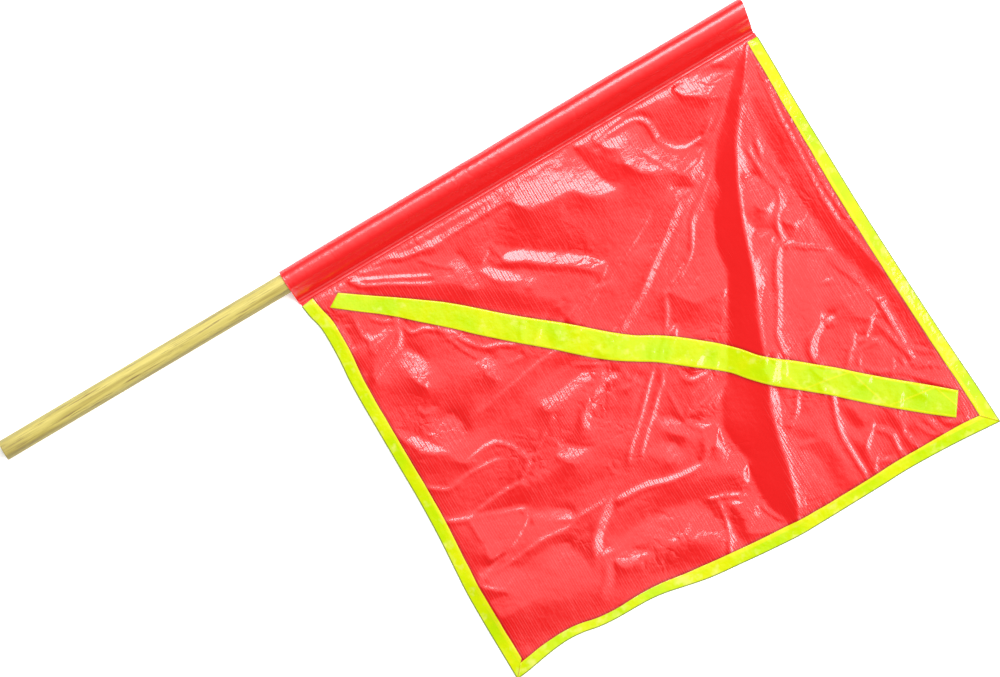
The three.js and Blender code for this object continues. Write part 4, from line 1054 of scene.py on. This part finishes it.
def dowel_wood(name):
    """Pale sanded hardwood with long open grain, a little darker and greyer at the butt, with painted shade along its
    two long sides.
    """
    mat, t, b = nodes_of(name)
    co = add(t, "ShaderNodeTexCoord").outputs["Object"]
    scale = add(t, "ShaderNodeMapping")
    scale.inputs["Scale"].default_value = (7.0, 160.0, 160.0)
    link(t, co, scale.inputs["Vector"])
    grain = add(t, "ShaderNodeTexNoise", Scale=1.0, Detail=5.0, Roughness=0.62, Distortion=0.5)
    link(t, scale.outputs[0], grain.inputs["Vector"])
    scale2 = add(t, "ShaderNodeMapping")
    scale2.inputs["Scale"].default_value = (22.0, 620.0, 620.0)
    link(t, co, scale2.inputs["Vector"])
    pores = add(t, "ShaderNodeTexNoise", Scale=1.0, Detail=3.0, Roughness=0.7)
    link(t, scale2.outputs[0], pores.inputs["Vector"])
    pore = math_node(t, "MULTIPLY", math_node(t, "MAXIMUM", math_node(t, "SUBTRACT", pores.outputs[0], 0.54), 0.0), 8.0)
    ramp = add(t, "ShaderNodeValToRGB")
    ramp.color_ramp.elements[0].position = 0.34
    ramp.color_ramp.elements[0].color = (0.36, 0.27, 0.048, 1)
    ramp.color_ramp.elements[1].position = 0.68
    ramp.color_ramp.elements[1].color = (0.62, 0.51, 0.130, 1)
    e = ramp.color_ramp.elements.new(0.5)
    e.color = (0.505, 0.403, 0.086, 1)
    link(t, grain.outputs[0], ramp.inputs[0])
    col = mix_colour(t, pore, ramp.outputs[0], (0.24, 0.165, 0.045))
    sep = add(t, "ShaderNodeSeparateXYZ")
    link(t, co, sep.inputs[0])
    butt = math_node(t, "MAXIMUM", math_node(t, "MULTIPLY", math_node(t, "SUBTRACT", BUTT_X + 0.035, sep.outputs[0]), 16.0), 0.0)
    smudge = add(t, "ShaderNodeTexNoise", Scale=18.0, Detail=3.0)
    link(t, co, smudge.inputs["Vector"])
    butt = math_node(t, "MULTIPLY", butt, smudge.outputs[0])
    col = mix_colour(t, butt, col, (0.33, 0.25, 0.08))
    # painted shade: darker along the long side towards the flag, and a little darker along the far side
    lower_side_shade = math_node(t, "MAXIMUM", math_node(t, "MULTIPLY", math_node(t, "SUBTRACT", AXIS_Y - 0.005, sep.outputs[1]), 110.0), 0.0)
    col = mix_colour(t, math_node(t, "MINIMUM", lower_side_shade, 0.42), col, (0.24, 0.215, 0.085))
    upper_side_shade = math_node(t, "MAXIMUM", math_node(t, "MULTIPLY", math_node(t, "SUBTRACT", sep.outputs[1], AXIS_Y + 0.0065), 110.0), 0.0)
    col = mix_colour(t, math_node(t, "MINIMUM", upper_side_shade, 0.35), col, (0.28, 0.26, 0.11))
    link(t, col, b.inputs["Base Color"])
    h = math_node(t, "SUBTRACT", grain.outputs[0], math_node(t, "MULTIPLY", pore, 0.5))
    bump = add(t, "ShaderNodeBump", Strength=0.8, Distance=0.00025)
    link(t, h, bump.inputs["Height"])
    link(t, bump.outputs[0], b.inputs["Normal"])
    link(t, math_node(t, "MULTIPLY_ADD", grain.outputs[0], 0.25, 0.5), b.inputs["Roughness"])
    return mat


def staple_wire(name):
    mat, t, b = nodes_of(name)
    co = add(t, "ShaderNodeTexCoord").outputs["Object"]
    n = add(t, "ShaderNodeTexNoise", Scale=900.0, Detail=4.0)
    link(t, co, n.inputs["Vector"])
    link(t, mix_colour(t, n.outputs[0], (0.42, 0.43, 0.45), (0.66, 0.66, 0.67)), b.inputs["Base Color"])
    b.inputs["Metallic"].default_value = 1.0
    link(t, math_node(t, "MULTIPLY_ADD", n.outputs[0], 0.3, 0.25), b.inputs["Roughness"])
    bump = add(t, "ShaderNodeBump", Strength=0.5, Distance=0.00005)
    link(t, n.outputs[0], bump.inputs["Height"])
    link(t, bump.outputs[0], b.inputs["Normal"])
    return mat


def paint(obj, mat):
    obj.data.materials.clear()
    obj.data.materials.append(mat)


# ---- put it together -------------------------------------------------------------------------------
vinyl = red_vinyl("coated_cloth", panel=True)
sleeve_vinyl = red_vinyl("coated_cloth_sleeve", 0.0)
wood = dowel_wood("dowel_wood")
wire = staple_wire("staple_wire")
for slot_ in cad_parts["staff"].material_slots:
    slot_.link = "OBJECT"
    slot_.material = wood
for name in ("staple_grip_end", "staple_middle", "staple_tip_end"):
    for slot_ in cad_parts[name].material_slots:
        slot_.link = "OBJECT"
        slot_.material = wire

panel = make_panel()
paint(panel, vinyl)
sleeve = make_sleeve()
paint(sleeve, sleeve_vinyl)
bindings = []
for name, edge, m0, m1, lap, seed in (("tape_grip_side", grip, 0.0, m_gf, LAP_GRIP, 1), ("tape_fly_side", fly, m_gf, m_ft, LAP_FLY, 2), ("tape_tip_side", tip, m_ft, 0.0, LAP_TIP, 3)):
    o = make_binding(name, edge, m0, m1, lap, seed)
    bindings.append(o)
strip = make_strip()
tape_mat = lime_tape("edge_tape", half=0.0070, centre=0.0070, green=(0.26, 0.275))
strip_mat = lime_tape("strip_tape", zigzag=True, half=0.015)
for o in bindings:
    paint(o, tape_mat)
paint(strip, strip_mat)

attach(sleeve, "staff_body")
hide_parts("pole_sleeve")
for o, node in ((panel, "flag_panel"), (bindings[0], "binding_grip_side"), (bindings[1], "binding_fly_side"), (bindings[2], "binding_tip_side"), (strip, "diagonal_strip")):
    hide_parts(node)
    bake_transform(o)

# ---- stage, light, camera ------------------------------------------------------------------------
floor_mesh = bpy.data.meshes.new("floor")
R = 40.0
floor_mesh.from_pydata([(-R, -R, -0.0002), (R, -R, -0.0002), (R, R, -0.0002), (-R, R, -0.0002)], [], [(0, 1, 2, 3)])
floor = bpy.data.objects.new("floor", floor_mesh)
bpy.context.scene.collection.objects.link(floor)
fmat, ft_, fb = nodes_of("floor_white")
fb.inputs["Base Color"].default_value = (0.97, 0.97, 0.97, 1)
fb.inputs["Roughness"].default_value = 0.9
fb.inputs["Specular IOR Level"].default_value = 0.0
fb.inputs["Emission Color"].default_value = (1, 1, 1, 1)
fb.inputs["Emission Strength"].default_value = 0.42
paint(floor, fmat)

def softbox(name, towards, along, length, width, radiance):
    """A soft light 3 m from the flag, its long side lying along a direction."""
    lamp = bpy.data.lights.new(name, "AREA")
    lamp.shape = "RECTANGLE"
    lamp.size, lamp.size_y = length, width
    lamp.energy = radiance * math.pi * length * width
    lamp.color = (0.95, 0.988, 1.055)
    obj = bpy.data.objects.new(name, lamp)
    bpy.context.scene.collection.objects.link(obj)
    z = Vector(towards).normalized()
    x = Vector(along) - z * z.dot(Vector(along))
    x.normalize()
    y = z.cross(x)
    obj.matrix_world = Matrix.Translation(Vector((0.17, 0, 0)) + z * 3.0) @ Matrix((x, y, z)).transposed().to_4x4()
    return obj


softbox("softbox_top", (0.346, 0.588, 0.730), (1, 0, 0), 2.5, 1.0, 11.3)
softbox("softbox_right", (0.580, -0.300, 0.757), (0.45, 0.9, 0), 1.8, 0.72, 11.0)

world = bpy.data.worlds.new("studio")
bpy.context.scene.world = world
world.use_nodes = True
wt = world.node_tree
wt.nodes.clear()
wout = wt.nodes.new("ShaderNodeOutputWorld")
bg = wt.nodes.new("ShaderNodeBackground")
bg_cam = wt.nodes.new("ShaderNodeBackground")
bg_cam.inputs[0].default_value = (1, 1, 1, 1)
bg_cam.inputs[1].default_value = 1.1
mix = wt.nodes.new("ShaderNodeMixShader")
path = wt.nodes.new("ShaderNodeLightPath")
tc = wt.nodes.new("ShaderNodeTexCoord")
dot = wt.nodes.new("ShaderNodeVectorMath")
dot.operation = "DOT_PRODUCT"
dot.inputs[1].default_value = (0.45, 0.215, 0.0)
wt.links.new(tc.outputs["Generated"], dot.inputs[0])
shift = wt.nodes.new("ShaderNodeMath")
shift.operation = "ADD"
shift.inputs[1].default_value = 0.5
wt.links.new(dot.outputs["Value"], shift.inputs[0])
ramp = wt.nodes.new("ShaderNodeValToRGB")
els = ramp.color_ramp.elements
els[0].position, els[0].color = 0.0, (0.25, 0.25, 0.25, 1)
els[1].position, els[1].color = 1.0, (0.50, 0.50, 0.50, 1)
for pos, val in ((0.20, 0.05), (0.36, 0.10), (0.44, 0.46), (0.50, 0.84), (0.56, 1.15), (0.64, 1.15), (0.78, 0.72)):
    e_ = els.new(pos)
    e_.color = (val, val, val, 1)
wt.links.new(shift.outputs[0], ramp.inputs[0])
sep_w = wt.nodes.new("ShaderNodeSeparateXYZ")
wt.links.new(tc.outputs["Generated"], sep_w.inputs[0])
low = wt.nodes.new("ShaderNodeMapRange")
low.inputs[1].default_value, low.inputs[2].default_value = 0.50, 0.92
low.inputs[3].default_value, low.inputs[4].default_value = 1.0, 0.25
wt.links.new(sep_w.outputs[1], low.inputs[0])
dim = wt.nodes.new("ShaderNodeMix")
dim.data_type = "RGBA"
dim.blend_type = "MULTIPLY"
dim.inputs[0].default_value = 1.0
wt.links.new(ramp.outputs[0], dim.inputs[6])
wt.links.new(low.outputs[0], dim.inputs[7])
wt.links.new(dim.outputs[2], bg.inputs[0])
bg.inputs[1].default_value = 1.35
wt.links.new(path.outputs["Is Camera Ray"], mix.inputs[0])
wt.links.new(bg.outputs[0], mix.inputs[1])
wt.links.new(bg_cam.outputs[0], mix.inputs[2])
wt.links.new(mix.outputs[0], wout.inputs[0])

cam_data = bpy.data.cameras.new("camera")
cam_data.lens = 300.0
cam_data.sensor_width = 36.0
cam_data.clip_end = 200.0
cam = bpy.data.objects.new("camera", cam_data)
bpy.context.scene.collection.objects.link(cam)
distance = 1.0 * STEP * cam_data.lens / 36.0
aim = Vector((BUTT_X + (482.3 + 2.0) * STEP / 1000, AXIS_Y - (161.3 - 4.5) * STEP / 1000, 0.004))
turn = math.atan2(0.5105, 0.8599)
right = Vector((math.cos(turn), -math.sin(turn), 0))
up = Vector((math.sin(turn), math.cos(turn), 0))
cam.matrix_world = Matrix.Translation(aim + Vector((0, 0, distance))) @ Matrix((right, up, Vector((0, 0, 1)))).transposed().to_4x4()
bpy.context.scene.camera = cam
bpy.context.scene.view_settings.view_transform = "Standard"
bpy.context.scene.view_settings.look = "None"
bpy.context.scene.view_settings.exposure = 0.0
bpy.context.scene.view_settings.gamma = 1.0
